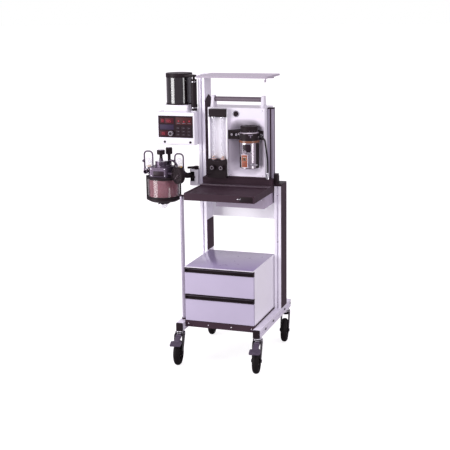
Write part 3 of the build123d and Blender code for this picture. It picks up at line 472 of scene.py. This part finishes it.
def dress_caster(name):
    cx, cy = SWIVELS[name]
    race = Piece("swivel_race_" + name, "frame", "chrome")
    race.ring((cx, cy, 159.3), UP, 17.1, 21.5, 4.4, 1.2)
    race.done()
    band = Piece("crown_band_" + name, "caster_" + name, "chrome")
    band.ring((cx, cy, 148.5), UP, 22.8, 24.2, 7.5, 1.0)
    band.done()
    hub = Piece("wheel_hub_" + name, "wheel_" + name, "fork_coat", "black_plastic")
    for side in (-1, 1):
        foot = on_caster(name, 0, TRAIL, AXLE_HEIGHT)
        axis = Vector(AXLE) * side
        hub.look(0).ring(foot, axis, 15, 20, 12, 1.5)
        hub.ring(foot, axis, 36, 41, 9, 1.5)
        for k in range(6):
            spoke = Vector(on_caster(name, side * 8.3, TRAIL, AXLE_HEIGHT))
            a = radians(60 * k + 15)
            tilt = Matrix.Rotation(TURN, 4, "Z") @ Matrix.Rotation(a, 4, "X")
            made = bmesh.new()
            bmesh.ops.create_cube(made, size=1)
            for v in made.verts:
                v.co = tilt @ Vector((v.co.x * 3.4, v.co.y * (5 + 1.5 * v.co.z), v.co.z * 19 + 28.5))
            bmesh.ops.bevel(made, geom=made.edges[:], offset=0.6, segments=2, affect="EDGES")
            hub.to_frame(made, Matrix.Translation(spoke))
            hub.solid(made)
    hub.done()
    cap = Piece("axle_cap_" + name, "caster_" + name, "steel")
    for side in (-1, 1):
        cap.disc(on_caster(name, side * 25.6, TRAIL, AXLE_HEIGHT), Vector(AXLE) * side, 4.6, 0.8, 0.3, 20)
    cap.done()


for caster in SWIVELS:
    dress_caster(caster)

# ---------------------------------------------------------------- base, posts and drawers
rail_bits = Piece("rail_plugs", "frame", "black_plastic")
for side in (-1, 1):
    for y in (-112, 20, 225):
        rail_bits.lathe((side * 217.6, y, 185), (side, 0, 0), [(0, 0), (6.5, 0), (6.5, 1.2), (5.5, 2.0),
                                                               (3.0, 2.0), (2.6, 0.9), (0, 0.9)], 24)
rail_bits.done()

deck_bolts = Piece("deck_bolts", "frame", "steel")
for x in (-165, -60, 60, 165):
    deck_bolts.screw((x, -178, 196), FRONT, 3.4)
    deck_bolts.screw((x, 252, 196), REAR, 3.4)
deck_bolts.done()

column_bolts = Piece("column_bolts", "frame", "steel")
for x, heights in ((-200, (1010, 1300, 560, 240)), (200, (560, 240, 800))):
    for z in heights:
        column_bolts.lathe((x, 157.6, z), FRONT, [(0, 0), (3.6, 0), (3.6, 0.8), (2.0, 0.8), (1.6, 0.2),
                                                  (0, 0.2)], 6)
        column_bolts.screw((x, 253, z), REAR, 4)
column_bolts.done()

covers = Piece("post_inserts", "frame", "dark_paint", "dark_paint", "black_plastic")
for a in range(4):
    turn = Matrix.Translation(Vector((167, 165, 0))) @ Matrix.Rotation(radians(90 * a), 4, "Z")
    made = bmesh.new()
    bmesh.ops.create_cube(made, size=1)
    for v in made.verts:
        v.co = Vector((v.co.x * 7.6, -12.2 + v.co.y * 5.4, 1063 + v.co.z * 344))
    covers.to_frame(made, turn)
    covers.solid(made)
covers.look(1).brick(182.2, 220.8, 155.6, 254.4, 848.5, 859.4, 4)
covers.brick(181.6, 200.4, 149.6, 186.4, 859.2, 910.4, 3)
covers.brick(151.2, 182.8, 149.0, 181.0, 1236.2, 1242.4, 3)
covers.done()

panel_screws = Piece("panel_screws", "frame", "steel")
for x in (-170, 170):
    for z in (675, 740, 805):
        panel_screws.screw((x, 247, z), REAR)
for x in (-138, 0, 138):
    for z in (902, 1070, 1230):
        panel_screws.screw((x, 252, z), REAR)
for y in (-150, 0, 165):
    for side in (-1, 1):
        panel_screws.screw((side * 178.5, y, 478), (side, 0, 0), 2.6)
panel_screws.done()


def dress_drawer(name, z0):
    """Runner channels on the tray's sides, and the drawer's inside liner."""
    runner = Piece(name + "_runners", name, "steel")
    for side in (-1, 1):
        inner, outer = side * 168.6, side * 174.5
        x0, x1 = min(inner, outer), max(inner, outer)
        for low in (z0 + 38, z0 + 61.5):
            runner.brick(x0, x1, -150, 168, low, low + 12.5, 1.5)
        for y in (-120, 0, 120):
            runner.screw((side * 174.4, y, z0 + 44), (side, 0, 0), 2.2)
    runner.done()
    liner = Piece(name + "_mat", name, "rubber")
    liner.brick(-166, 166, -162, 169, z0 + 7.6, z0 + 9.4, 0.5)
    for k in range(15):
        y = -150 + 22 * k
        liner.brick(-162, 162, y, y + 6, z0 + 9.3, z0 + 10.2, 0.3)
    liner.done()
    # A thin dark strip across the drawer front: painted shade of a gap.
    grip = Piece(name + "_gap_shade_line", name, "steel", "dark_marks_and_shade")
    grip.brick(-175, 175, -182.3, -181.7, z0 + 127.5, z0 + 129, 0.2)
    grip.done()


# Thin grey-lavender sheet over the cabinet top: painted shade cast by the worktop and gas cabinet above.
cabinet_top = Piece("cabinet_top_shade_sheet", "frame", "drawer_paint", "top_shade_grey")
cabinet_top.brick(-174, 174, -175, 178, 488.8, 489.9, 0.4)
cabinet_top.done()
dress_drawer("upper_drawer", 351)
dress_drawer("lower_drawer", 215)

# ---------------------------------------------------------------- worktop
strip = Piece("worktop_strip", "frame", "dark_paint", "strip_grey", "dark_paint")
strip.brick(-180, 180, 63, 107.5, 853.6, 857, 1.2)
strip.brick(-180, 180, 63, 66, 856.5, 860, 0.8)
strip.look(1).brick(-154, 154, 106.6, 109.9, 887.6, 899, 1.0)
strip.done()
tab = Piece("worktop_catch_and_shade_sheet", "frame", "chrome", "chrome", "black_plastic")
# The black sheet across the front's right end is painted shade; the small chrome tab is the catch.
tab.look(1).brick(106, 172, -167.4, -165.6, 823, 850, 1.0)
tab.look(0).brick(95, 113, -169.0, -165.6, 835.5, 839, 1.2)
tab.done()
under_bits = Piece("under_box_screws", "frame", "steel")
for x in (-70, 46, 162):
    under_bits.screw((x, 20, 800), FRONT, 2.6)
under_bits.done()

# ---------------------------------------------------------------- gas cabinet
trim = Piece("gas_cabinet_screws", "frame", "steel")
for x, z in ((138, 1230), (138, 905), (-30, 905)):
    trim.screw((x, 110, z), FRONT, 2.6)
for side in (-1, 1):
    for y, z in ((130, 905), (130, 1228), (232, 905), (232, 1228)):
        trim.screw((side * 150, y, z), (side, 0, 0), 2.6)
    trim.screw((side * 138, 151, 1256), (side, 0, 0), 3.4)
trim.done()


NICHE = (-44, 145, 900, 1191)   # its left, right, bottom and top
NICHE_FRONT = 109.6
NICHE_DEPTH = 58
NICHE_LAP = 1.5                 # what the liner passes the opening by
NICHE_SOFT = 62                 # how far in its sides are curved
LINER_WALL = 3.0


def niche_liner():
    """Moulded recess: its sides curve softly from the cabinet's front to its back."""
    # The liner takes the lavender copy of the white paint, a painted tint for the niche's shade.
    liner = Piece("niche_liner", "frame", "white_paint", "niche_shade_tint")
    made = bmesh.new()
    x0, x1, z0, z1 = NICHE
    nx, nz = 48, 72
    rows = []
    for i in range(nx + 1):
        x = x0 - NICHE_LAP + (x1 - x0 + 2 * NICHE_LAP) * i / nx
        row = []
        for k in range(nz + 1):
            z = z0 - NICHE_LAP + (z1 - z0 + 2 * NICHE_LAP) * k / nz
            u = max(0, 1 - min(x - x0, x1 - x) / NICHE_SOFT)
            w = max(0, 1 - min(z - z0, z1 - z) / NICHE_SOFT)
            t = max(0, 1 - hypot(u, w))
            t = t * t * (3 - 2 * t)
            row.append(made.verts.new(at(x, NICHE_FRONT + NICHE_DEPTH * t, z)))
        rows.append(row)
    for a, b in zip(rows, rows[1:]):
        for k in range(nz):
            made.faces.new((a[k], b[k], b[k + 1], a[k + 1]))
    made.normal_update()
    shell = made.faces[:]
    bmesh.ops.solidify(made, geom=shell, thickness=LINER_WALL * MM)
    liner.solid(made)
    liner.done()


niche_liner()
bezel = Piece("flush_bezel", "frame", "chrome")
bezel.ring((0, 110.2, 1213), FRONT, 12.6, 16.5, 3.0, 1.0)
bezel.done()
# Dark strips on the rear panel: painted shade of vent slots.
vents = Piece("vent_slot_shade", "frame", "dark_paint", "dark_marks_and_shade")
for z in range(1120, 1200, 14):
    vents.brick(-101, 101, 250.2, 250.9, z + 0.3, z + 4.7, 0.2)
vents.done()

# ---------------------------------------------------------------- flowmeter
TUBES = {"oxygen": -114, "second_gas": -67}
TUBE_Y = 95
KNOB_HEIGHT = 945
flow_back = Piece("flow_backplate", "frame", "white_plastic")
flow_back.brick(-133, -46, 107.2, 110.2, 986, 1197, 1.0)
flow_back.brick(-140, -132, 92, 110.2, 986, 1197, 1.5)
flow_back.brick(-47, -40, 92, 110.2, 900, 1237, 1.5)
flow_back.done()
marks = Piece("flow_scales", "frame", "pointer_paint", "dark_marks_and_shade")
for x in TUBES.values():
    for k in range(21):
        reach = 26 if k % 5 == 0 else 14
        marks.band((x, TUBE_Y), 10.95, 11.25, 1015 + 8 * k, 1016.2 + 8 * k, -90 - reach, -90 + reach * 0.3, 6)
marks.done()
collars = Piece("flow_collars", "frame", "float_metal", "collar_tan", "chrome")
for x in TUBES.values():
    collars.look(0).lathe((x, TUBE_Y, 984.6), UP, [(11.1, 0), (12.8, 0), (12.8, 3), (12.0, 4), (11.1, 5),
                                               (11.1, 0)], 30)
    collars.look(1).ring((x, TUBE_Y, 1194), UP, 11.1, 13.2, 4.6, 0.8)
collars.done()
for gas, x in TUBES.items():
    mark = Piece("flow_knob_highlight_ring_" + gas, "flow_knob_" + gas, "white_plastic", "ring_grey")
    # The grey ring on the knob's face is a painted highlight; the short bar is its pointer.
    mark.ring((x, 58.6, KNOB_HEIGHT), FRONT, 6.6, 9.4, 0.9, 0.3)
    mark.brick(x - 0.8, x + 0.8, 57.7, 58.6, 953.6, 956.6, 0.2)
    mark.done()
    plate = Piece("flow_escutcheon_" + gas, "frame", "steel")
    plate.ring((x, 76.1, KNOB_HEIGHT), FRONT, 8.6, 11.6, 0.5, 0.1)
    plate.done()
guard = Piece("flow_guard", "frame", "black_plastic")
guard.pipe([(-134, 74, 907), (-134, 50, 909), (-134, 46, 920), (-134, 46, 925)], 2.2)
guard.done()

# ---------------------------------------------------------------- vaporizer
VAP = (77, 84)
vap = Piece("vaporizer_head_cover", "frame", "black_plastic", "black_plastic", "ring_orange", "grey_marks",
            "ring_grey")
vap.lathe((*VAP, 0), UP, [(47.6, 1088.5), (49.3, 1088.5), (49.3, 1124), (45.6, 1128.5), (44, 1128.5),
                          (44, 1126), (47.6, 1122), (47.6, 1088.5)], 64)
vap.look(1).lathe((*VAP, 0), UP, [(47.2, 1077.5), (49.6, 1078), (50.2, 1080), (50.2, 1086), (49.6, 1088.2),
                                  (47.2, 1088.4), (47.2, 1077.5)], 64)
vap.look(2).band(VAP, 49.1, 50.1, 1115, 1120, -78, -52, 10)
vap.band(VAP, 49.1, 50.1, 1104, 1115.5, -68, -62, 3)
vap.look(3).lathe((29, 74, 1118), (-0.35, -0.94, 0), [(0, 0), (5.5, 0), (5.5, 5), (3.5, 7), (0, 7)], 24)
vap.lathe((122, 90, 1104), (0.2, -0.98, 0), [(0, 0), (5, 0), (5, 14), (3, 16), (0, 16)], 24)
vap.done()
shell = Piece("vaporizer_window_and_dark_side", "frame", "black_plastic", "black_plastic", "glass_dark", "chrome")
# The black band round the body's sides and back is a painted dark reflection down its right side.
shell.band(VAP, 46.8, 48.2, 951, 1076, -28, 205, 48)
shell.look(1).band(VAP, 46.6, 47.9, 1032, 1073, -113, -63, 18)
shell.look(2).band(VAP, 46.6, 48.4, 1029.5, 1032.5, -115, -61, 18)
shell.band(VAP, 46.6, 48.4, 1072.5, 1075.5, -115, -61, 18)
shell.band(VAP, 46.6, 48.4, 1029.5, 1075.5, -116, -113, 2)
shell.band(VAP, 46.6, 48.4, 1029.5, 1075.5, -63, -60, 2)
# Black block left of the label: painted shade.
shell.look(0).brick(44, 53, 30, 44, 957, 1012, 2)
shell.done()
label = Piece("vaporizer_label", "frame", "white_plastic", "white_plastic", "orange", "dark_marks_and_shade")
# each layer: its look, front, back and rounding, and its strips as left, right, bottom, top
LABEL_LAYERS = ((0, 25.3, 26.2, 0.3, ((54.2, 85.8, 958.5, 990), (54.2, 85.8, 1010, 1022.5),
                                      (54.2, 61, 989, 1011), (79, 85.8, 989, 1011))),
                (1, 24.9, 25.6, 0.3, ((55, 84.4, 960.5, 990.5), (55, 61, 990, 1012), (79, 84.4, 990, 1012),
                                      (55, 84.4, 1011, 1021))),
                (2, 24.6, 25.0, 0.1, ((61, 79, 967, 968.5), (61, 75, 973, 974.5), (61, 79, 979, 980.5))))
for look, y0, y1, r, strips in LABEL_LAYERS:
    for x0, x1, z0, z1 in strips:
        label.look(look).brick(x0, x1, y0, y1, z0, z1, r)
label.done()
keyhole = Piece("filler_ring", "frame", "float_metal", "brass")
keyhole.ring((70, 26.2, 1000), FRONT, 6.1, 8.6, 1.8, 0.5)
keyhole.done()
dial = Piece("vaporizer_dial_marks", "vaporizer_dial", "pointer_paint", "grey_marks", "black_plastic")
for k in range(16):
    a = -70 + 18 * k
    tall = 7 if k % 2 == 0 else 4
    dial.look(0).band(VAP, 42.0, 43.35, 1132, 1132 + tall, a - 0.9, a + 0.9, 2)
dial.look(1).lathe((*VAP, 1157.4), UP, [(0, 0), (31, 0), (31, 0.6), (29, 1.6), (0, 1.6)], 48)
dial.done()

# ---------------------------------------------------------------- ventilator
screen = Piece("ventilator_displays", "frame", "black_plastic", "red_window", "red_glow", "violet_film",
               "red_brown", "grey_marks", "key_grey")
PANEL_Y = 99
SEGMENTS = {"0": "abcdef", "1": "bc", "2": "abged", "4": "fgbc", "5": "afgcd", "6": "afgedc", "8": "abcdefg"}


def window(look, x0, x1, z0, z1, proud=0.7):
    screen.look(look).brick(x0, x1, PANEL_Y - proud, PANEL_Y + 0.2, z0, z1, 0.3)


def digit(figure, x, z, w=7.0, h=14.0, t=2.0):
    """Seven-segment figure with its lower left corner at x, z."""
    bars = {"a": (x, x + w, z + h - t, z + h), "d": (x, x + w, z, z + t),
            "g": (x, x + w, z + h / 2 - t / 2, z + h / 2 + t / 2),
            "f": (x, x + t, z + h / 2, z + h), "b": (x + w - t, x + w, z + h / 2, z + h),
            "e": (x, x + t, z, z + h / 2), "c": (x + w - t, x + w, z, z + h / 2)}
    for key in SEGMENTS[figure]:
        x0, x1, z0, z1 = bars[key]
        screen.look(1).brick(x0, x1, PANEL_Y - 0.9, PANEL_Y - 0.6, z0, z1, 0.1)


window(0, -404, -384, 1159, 1182)
window(0, -380, -331, 1157, 1184)
window(0, -409, -364, 1093, 1119)
window(2, -409, -331, 1125, 1151)
window(3, -320, -232, 1152, 1189)
for text, x, z in (("12", -402, 1163), ("405", -373, 1162), ("06", -397, 1098)):
    for k, figure in enumerate(text):
        digit(figure, x + 9.5 * k, z)
for k in range(3):
    screen.look(1).disc((-304 + 29 * k, PANEL_Y - 0.5, 1170 - 3 * (k == 1)), FRONT, 4.2, 1.4, 0.4, 20)
    screen.look(4).brick(-313 + 29 * k, -295 + 29 * k, PANEL_Y - 0.95, PANEL_Y - 0.6, 1158, 1160, 0.1)
for row in range(3):
    for column in range(3):
        x = -318 + 29 * column
        z = 1128 - 17 * row
        screen.look(5).brick(x, x + 25, PANEL_Y - 1.2, PANEL_Y + 0.2, z, z + 13, 0.9)
        screen.look(4).brick(x + 8, x + 17, PANEL_Y - 1.45, PANEL_Y - 1.1, z + 5.8, z + 7.2, 0.1)
screen.done()
knob_ring = Piece("ventilator_knob_cap", "ventilator_knob", "black_plastic", "black_plastic", "dark_marks_and_shade")
knob_ring.disc((-345, 84.1, 1107), FRONT, 7.6, 1.1, 0.4, 28)
knob_ring.look(1).brick(-345.8, -344.2, 82.7, 83.3, 1107.5, 1114, 0.1)
knob_ring.done()
feet = Piece("ventilator_screws", "frame", "black_plastic")
for x in (-382.6, -242.6):
    feet.lathe((x, 100.2, 1062.5), FRONT, [(0, 0), (6.2, 0), (6.2, 2.2), (4.6, 3.4), (2.2, 3.4), (2.0, 1.6),
                                           (0, 1.6)], 24)
feet.done()
side_vents = Piece("ventilator_slot_shade_and_grille", "frame", "black_plastic", "dark_marks_and_shade", "steel")
# Dark strips on both side faces: painted shade of vent slots; the rings and bars below are the rear fan
# grille.
for k in range(9):
    y = 190 + 10 * k
    side_vents.brick(-427.35, -426.6, y, y + 4, 1090, 1180, 0.15)
    side_vents.brick(-218.7, -217.95, y, y + 4, 1090, 1180, 0.15)
for k in range(4):
    side_vents.ring((-285, 299.7, 1150), REAR, 9 + 9 * k, 12 + 9 * k, 2.2, 0.5, 36)
for a in range(0, 180, 45):
    bar = Matrix.Rotation(radians(a), 4, "Y")
    side_vents.brick(-323, -247, 299.7, 301.2, 1149, 1151, 0.4, bar)
for x in (-415, -230):
    for z in (1060, 1202):
        side_vents.look(1).screw((x, 300, z), REAR)
side_vents.done()
socket = Piece("mains_socket", "frame", "black_plastic", "black_plastic", "brass")
socket.brick(-400, -397, 280, 301.4, 1076, 1106, 0.8).brick(-349, -346, 280, 301.4, 1076, 1106, 0.8)
socket.brick(-400, -346, 280, 301.4, 1104, 1107, 0.8).brick(-400, -346, 280, 301.4, 1075, 1078, 0.8)
for x, z in ((-380, 1087), (-366, 1087), (-373, 1096)):
    socket.look(1).brick(x - 1, x + 1, 280, 283, z - 2.5, z + 2.5, 0.3)
socket.done()

# ---------------------------------------------------------------- bellows canister
CAN = (-336, 200)
folds = Piece("bellows_folds", "frame", "rubber", hides=("bellows",))
profile = [(0, 1248), (40, 1248)]
for k in range(12):
    low = 1248 + k * 9.8
    profile += [(40.5, low + 0.6), (45, low + 2.4), (49.4, low + 4.3), (49.8, low + 5.2), (45, low + 7.2),
                (40.8, low + 9.0)]
profile += [(40, 1366), (36, 1367), (0, 1367)]
folds.lathe((*CAN, 0), UP, profile, 56)
bellows_piece = folds.done()
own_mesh(bellows_piece)

can_bits = Piece("canister_rings", "frame", "black_plastic", "black_plastic", "ticks", "chrome")
can_bits.ring((*CAN, 1247.1), UP, 66.6, 69.0, 7, 1.2, 64)
can_bits.ring((*CAN, 1384), UP, 66.6, 68.4, 6, 1.2, 64)
for k in range(8):
    reach = 7 if k % 2 == 0 else 4
    can_bits.look(1).band(CAN, 66.45, 66.75, 1268 + 13 * k, 1269.2 + 13 * k, -100 - reach, -100, 4)
can_bits.look(2)
for a in (30, 150, 270):
    x, y = CAN[0] + 60 * cos(radians(a)), CAN[1] + 60 * sin(radians(a))
    can_bits.screw((x, y, 1404.6), UP, 3.6)
can_bits.ring((-235.5, 148, 1233), UP, 14.4, 16.4, 3.5, 0.8)
can_bits.ring((-235.5, 148, 1364), UP, 14.4, 15.4, 3.0, 0.8)
can_bits.done()

# ---------------------------------------------------------------- shelf
shelf_bits = Piece("shelf_screws", "frame", "steel")
for x, y in ((-150, 211), (-60, 211), (60, 211), (150, 211)):
    shelf_bits.screw((x, y, 1402.2), UP, 3.0)
shelf_bits.done()

# ---------------------------------------------------------------- absorber
AX, AY = -370, 40
GLASS = (792, 889)
fill = Piece("soda_lime", "absorber", "granules", hides=("absorbent",))
fill.lathe((AX, AY, 0), UP, [(0, GLASS[0] + 0.6), (72.4, GLASS[0] + 0.6), (72.4, GLASS[1] - 7),
                             (0, GLASS[1] - 6)], 48)
luck = Random(7)
for ring in range(19):
    for k in range(100):
        a = 2 * pi * (k + 0.5 * (ring % 2) + luck.uniform(-0.25, 0.25)) / 100
        r = 73.4 + luck.uniform(-1.0, 0.6)
        z = GLASS[0] + 3.4 + ring * 4.7 + luck.uniform(-0.9, 0.9)
        size = luck.uniform(1.9, 2.7)
        grain = bmesh.new()
        bmesh.ops.create_icosphere(grain, subdivisions=1, radius=1)
        spin = Matrix.Rotation(luck.uniform(0, pi), 3, Vector((luck.random(), luck.random(), 1)))
        for v in grain.verts:
            p = spin @ Vector((v.co.x * size, v.co.y * size * 0.8, v.co.z * size * 1.15))
            v.co = at(AX + r * cos(a) + p.x, AY + r * sin(a) + p.y, z + p.z)
        fill.solid(grain)
fill.done()

gaskets = Piece("canister_gaskets", "absorber", "rubber", "rubber", "fork_coat")
gaskets.ring((AX, AY, GLASS[0] + 0.2), UP, 79.8, 83, 4, 0.8, 64)
gaskets.ring((AX, AY, GLASS[1] - 4.2), UP, 79.8, 83, 4, 0.8, 64)
for a in (20, 110, 200):
    x, y = AX + 85 * cos(radians(a)), AY + 85 * sin(radians(a))
    gaskets.look(1).ring((x, y, GLASS[0] + 0.5), UP, 3.6, 4.2, GLASS[1] - GLASS[0] - 1, 0.2, 16)
    gaskets.disc((x, y, GLASS[1] + 7.5), UP, 5.4, 3.5, 0.8, 20)
gaskets.done()
cup_ring = Piece("dust_cup_ring", "absorber", "chrome")
cup_ring.ring((AX - 6, AY, GLASS[0] - 42), UP, 24.1, 27, 4, 0.8)
cup_ring.done()

VALVES = {"left": (-450, 40), "right": (-293, 66)}
PORTS = {"left": (0, 20), "right": (45, 28)}       # degrees from the front, and the collar's length
for side, (x, y) in VALVES.items():
    valve = Piece("valve_fittings_" + side, "absorber", "chrome", "chrome", "disc", "brass", "white_plastic")
    valve.ring((x, y, 938.2), UP, 17.2, 20, 4.6, 1.0)
    valve.look(1).disc((x, y, 944), UP, 12.5, 1.2, 0.4)
    valve.look(2).ring((x, y, 938.2), UP, 8.5, 13.5, 5.2, 0.8)
    valve.look(3).ring((x, y, 905), UP, 15, 20.6, 6, 1.0)
    valve.look(2).pipe([(x + 9, y - 18, 930), (x + 14, y - 17, 938), (x + 19, y - 12, 944)], 2.4)
    valve.done()
    ring = Piece("port_ring_" + side, "absorber", "chrome")
    turn, collar = radians(PORTS[side][0]), PORTS[side][1]
    way = Vector((sin(turn), -cos(turn), 0))
    ring.ring(Vector((x, y, 921)) + way * (collar + 0.3), way, 11.1, 13.4, 2.4, 0.8)
    ring.done()

head = Piece("absorber_head_trim", "absorber", "head_metal", "glass_dark", "chrome", "head_metal", "ticks")
head.brick(-404, -346, -12.9, -11.7, 902, 927, 1.2)
head.look(1)
for x, z in ((-414, 903), (-414, 938), (-341, 903), (-341, 938)):
    head.screw((x, -12, z), FRONT, 2.8)
for a in range(0, 360, 60):
    head.screw((AX + 38 * cos(radians(a + 20)), AY + 38 * sin(radians(a + 20)), 952.8), UP, 2.6)
head.ring((-379, 36, 971.8), UP, 10.2, 24, 1.6, 0.5)
head.look(2).pipe([(-350, 66, 962), (-340, 52, 972), (-326, 46, 976), (-312, 50, 968), (-300, 54, 950),
                   (-296, 56, 932)], 5.2)
head.look(3)
for k in range(9):
    a = radians(180 + 22.5 * k)
    x, y = -379 + 26.5 * cos(a), 36 + 26.5 * sin(a)
    head.brick(x - 0.6, x + 0.6, y - 0.6, y + 0.6, 971.6, 972.5, 0.2)
head.done()
for knob, (x, y), top, r in (("apl_knob", (-379, 36), 1029, 20.5), ("selector_knob", (-350, 74), 1038, 17)):
    cap = Piece(knob + "_cap", knob, "grey_paint", "grey_paint", "ticks")
    cap.lathe((x, y, top - 0.4), UP, [(0, 0), (r * 0.62, 0), (r * 0.62, 0.8), (r * 0.5, 1.6), (0, 1.9)], 32)
    cap.look(1).brick(x - 0.9, x + 0.9, y - r * 0.58, y - 2, top + 1.0, top + 1.75, 0.2)
    cap.done()

# pressure gauge, drawn in the plane of its face
GAUGE = Vector((-256, -40, 916))
FACING = Vector((-0.5, -0.866, 0)).normalized()
ACROSS = Vector((0.866, -0.5, 0)).normalized()


def on_gauge(u, v, out):
    return GAUGE + ACROSS * u + Vector((0, 0, 1)) * v + FACING * out


gauge = Piece("gauge_dial", "absorber", "black_plastic", "gauge_black", "gauge_marks", "gauge_black")
gauge.ring(on_gauge(0, 0, 5.1), FACING, 2.2, 36.5, 0.5, 0.1, 56)
for k in range(28):
    a = radians(225 - 10 * k)
    inner = 26 if k % 3 == 0 else 30
    middle = on_gauge((inner + 33) / 2 * cos(a), (inner + 33) / 2 * sin(a), 5.55)
    made = bmesh.new()
    bmesh.ops.create_cube(made, size=1)
    wide = 1.6 if k % 3 == 0 else 0.9
    basis = Matrix((ACROSS, FACING, Vector(UP))).transposed().to_4x4()
    spin = basis @ Matrix.Rotation(-a, 4, "Y") @ Matrix.Diagonal((33 - inner, 0.4, wide, 1))
    made.transform(spin)
    gauge.look(1).to_frame(made, Matrix.Translation(middle))
    gauge.solid(made)
gauge.look(2).ring(on_gauge(0, 0, 10.4), FACING, 37.2, 41.2, 0.9, 0.3, 64)
gauge.done()
lens = Piece("gauge_glass", "absorber", "clear_glass", "gauge_lens")
lens.disc(on_gauge(0, 0, 8.9), FACING, 37.0, 1.0, 0.3, 56)
lens.done()

# ---------------------------------------------------------------- bracket
bolts = Piece("bracket_bolts", "frame", "steel", "steel", "black_plastic")
for z in (848, 906):
    for y in (138, 182):
        bolts.hexagon((-236, y, z), LEFT, 8, 4)
bolts.look(1).disc((-254, 160, 917.8), UP, 8.5, 1.6, 0.5)
bolts.disc((-254, 160, 836.2), (0, 0, -1), 8.5, 1.6, 0.5)
bolts.look(1).lathe((-240, 130.2, 880), FRONT, [(0, 0), (8, 0), (8.6, 1), (8.6, 8), (6.5, 10), (0, 10)], 30)
bolts.done()

# ---------------------------------------------------------------- floor, light and camera
FLOOR = 60.0               # metres from the middle to each edge
FLOOR_GLOW = 0.8           # makes the floor pale to the camera without lighting the trolley
SKY = (0.99, 0.93, 1.02, 1)
SKY_STRENGTH = 0.86
floor_mesh = bpy.data.meshes.new("floor")
floor_mesh.from_pydata([(-FLOOR, -FLOOR, 0), (FLOOR, -FLOOR, 0), (FLOOR, FLOOR, 0), (-FLOOR, FLOOR, 0)], [],
                       [(0, 1, 2, 3)])
floor = bpy.data.objects.new("floor", floor_mesh)
bpy.context.scene.collection.objects.link(floor)
floor_look = Finish("pale_floor", color=srgb(176, 172, 176), rough=0.8, patch=0.004, grain=200, depth=0.01,
                    specular=0.05)
floor_seen = floor_look.add("ShaderNodeLightPath").outputs["Is Camera Ray"]
floor_look.shader.inputs["Emission Color"].default_value = (1, 1, 1, 1)
floor_look.link(floor_look.math("MULTIPLY", floor_seen, FLOOR_GLOW),
                floor_look.shader.inputs["Emission Strength"])
floor_mesh.materials.append(floor_look.mat)

world = bpy.data.worlds.new("studio")
bpy.context.scene.world = world
world.use_nodes = True
sky = world.node_tree.nodes["Background"]
sky.inputs["Color"].default_value = SKY
sky.inputs["Strength"].default_value = SKY_STRENGTH
seen = world.node_tree.nodes.new("ShaderNodeBackground")
seen.inputs["Color"].default_value = (1.0, 1.0, 1.0, 1)
path = world.node_tree.nodes.new("ShaderNodeLightPath")
choose = world.node_tree.nodes.new("ShaderNodeMixShader")
world.node_tree.links.new(path.outputs["Is Camera Ray"], choose.inputs[0])
world.node_tree.links.new(sky.outputs[0], choose.inputs[1])
world.node_tree.links.new(seen.outputs[0], choose.inputs[2])
world.node_tree.links.new(choose.outputs[0], world.node_tree.nodes["World Output"].inputs["Surface"])


def lamp(name, place, target, size, power):
    """A soft box in metres and watts, which the camera doesn't see."""
    data = bpy.data.lights.new(name, "AREA")
    data.shape = "RECTANGLE"
    data.size, data.size_y = size
    data.energy = power
    obj = bpy.data.objects.new(name, data)
    bpy.context.scene.collection.objects.link(obj)
    obj.location = Vector(place)
    obj.visible_camera = False
    obj.rotation_euler = (Vector(target) - Vector(place)).to_track_quat("-Z", "Y").to_euler()


MIDDLE = (0.1, 0.0, 0.8)
CHEST = (0.0, 0.0, 1.05)
lamp("left_box", (-1.75, -1.7, 1.05), CHEST, (1.3, 1.9), 54)
lamp("right_box", (1.8, -0.95, 1.05), CHEST, (0.4, 1.9), 11)
lamp("top_box", (0.2, -0.6, 3.8), MIDDLE, (2.2, 2.2), 18)

AZIMUTH, PITCH, ROLL = radians(19.477), radians(12.652), radians(-0.823)
LENS, SENSOR = 80.74, 36
DISTANCE = 5.0446          # metres from the point that the camera looks at
LOOKS_AT = at(-27.3, 0, 668.5)
FAR = 200
back = Vector((sin(AZIMUTH) * cos(PITCH), -cos(AZIMUTH) * cos(PITCH), sin(PITCH)))
across = Vector((cos(AZIMUTH), sin(AZIMUTH), 0))
upward = back.cross(across)
right = across * cos(ROLL) + upward * sin(ROLL)
upward = upward * cos(ROLL) - across * sin(ROLL)
camera_data = bpy.data.cameras.new("camera")
camera_data.lens = LENS
camera_data.sensor_width = SENSOR
camera_data.clip_end = FAR
camera = bpy.data.objects.new("camera", camera_data)
bpy.context.scene.collection.objects.link(camera)
turned = Matrix((right, upward, back)).transposed().to_4x4()
camera.matrix_world = Matrix.Translation(LOOKS_AT + back * DISTANCE) @ turned
bpy.context.scene.camera = camera
bpy.context.scene.view_settings.view_transform = "Standard"
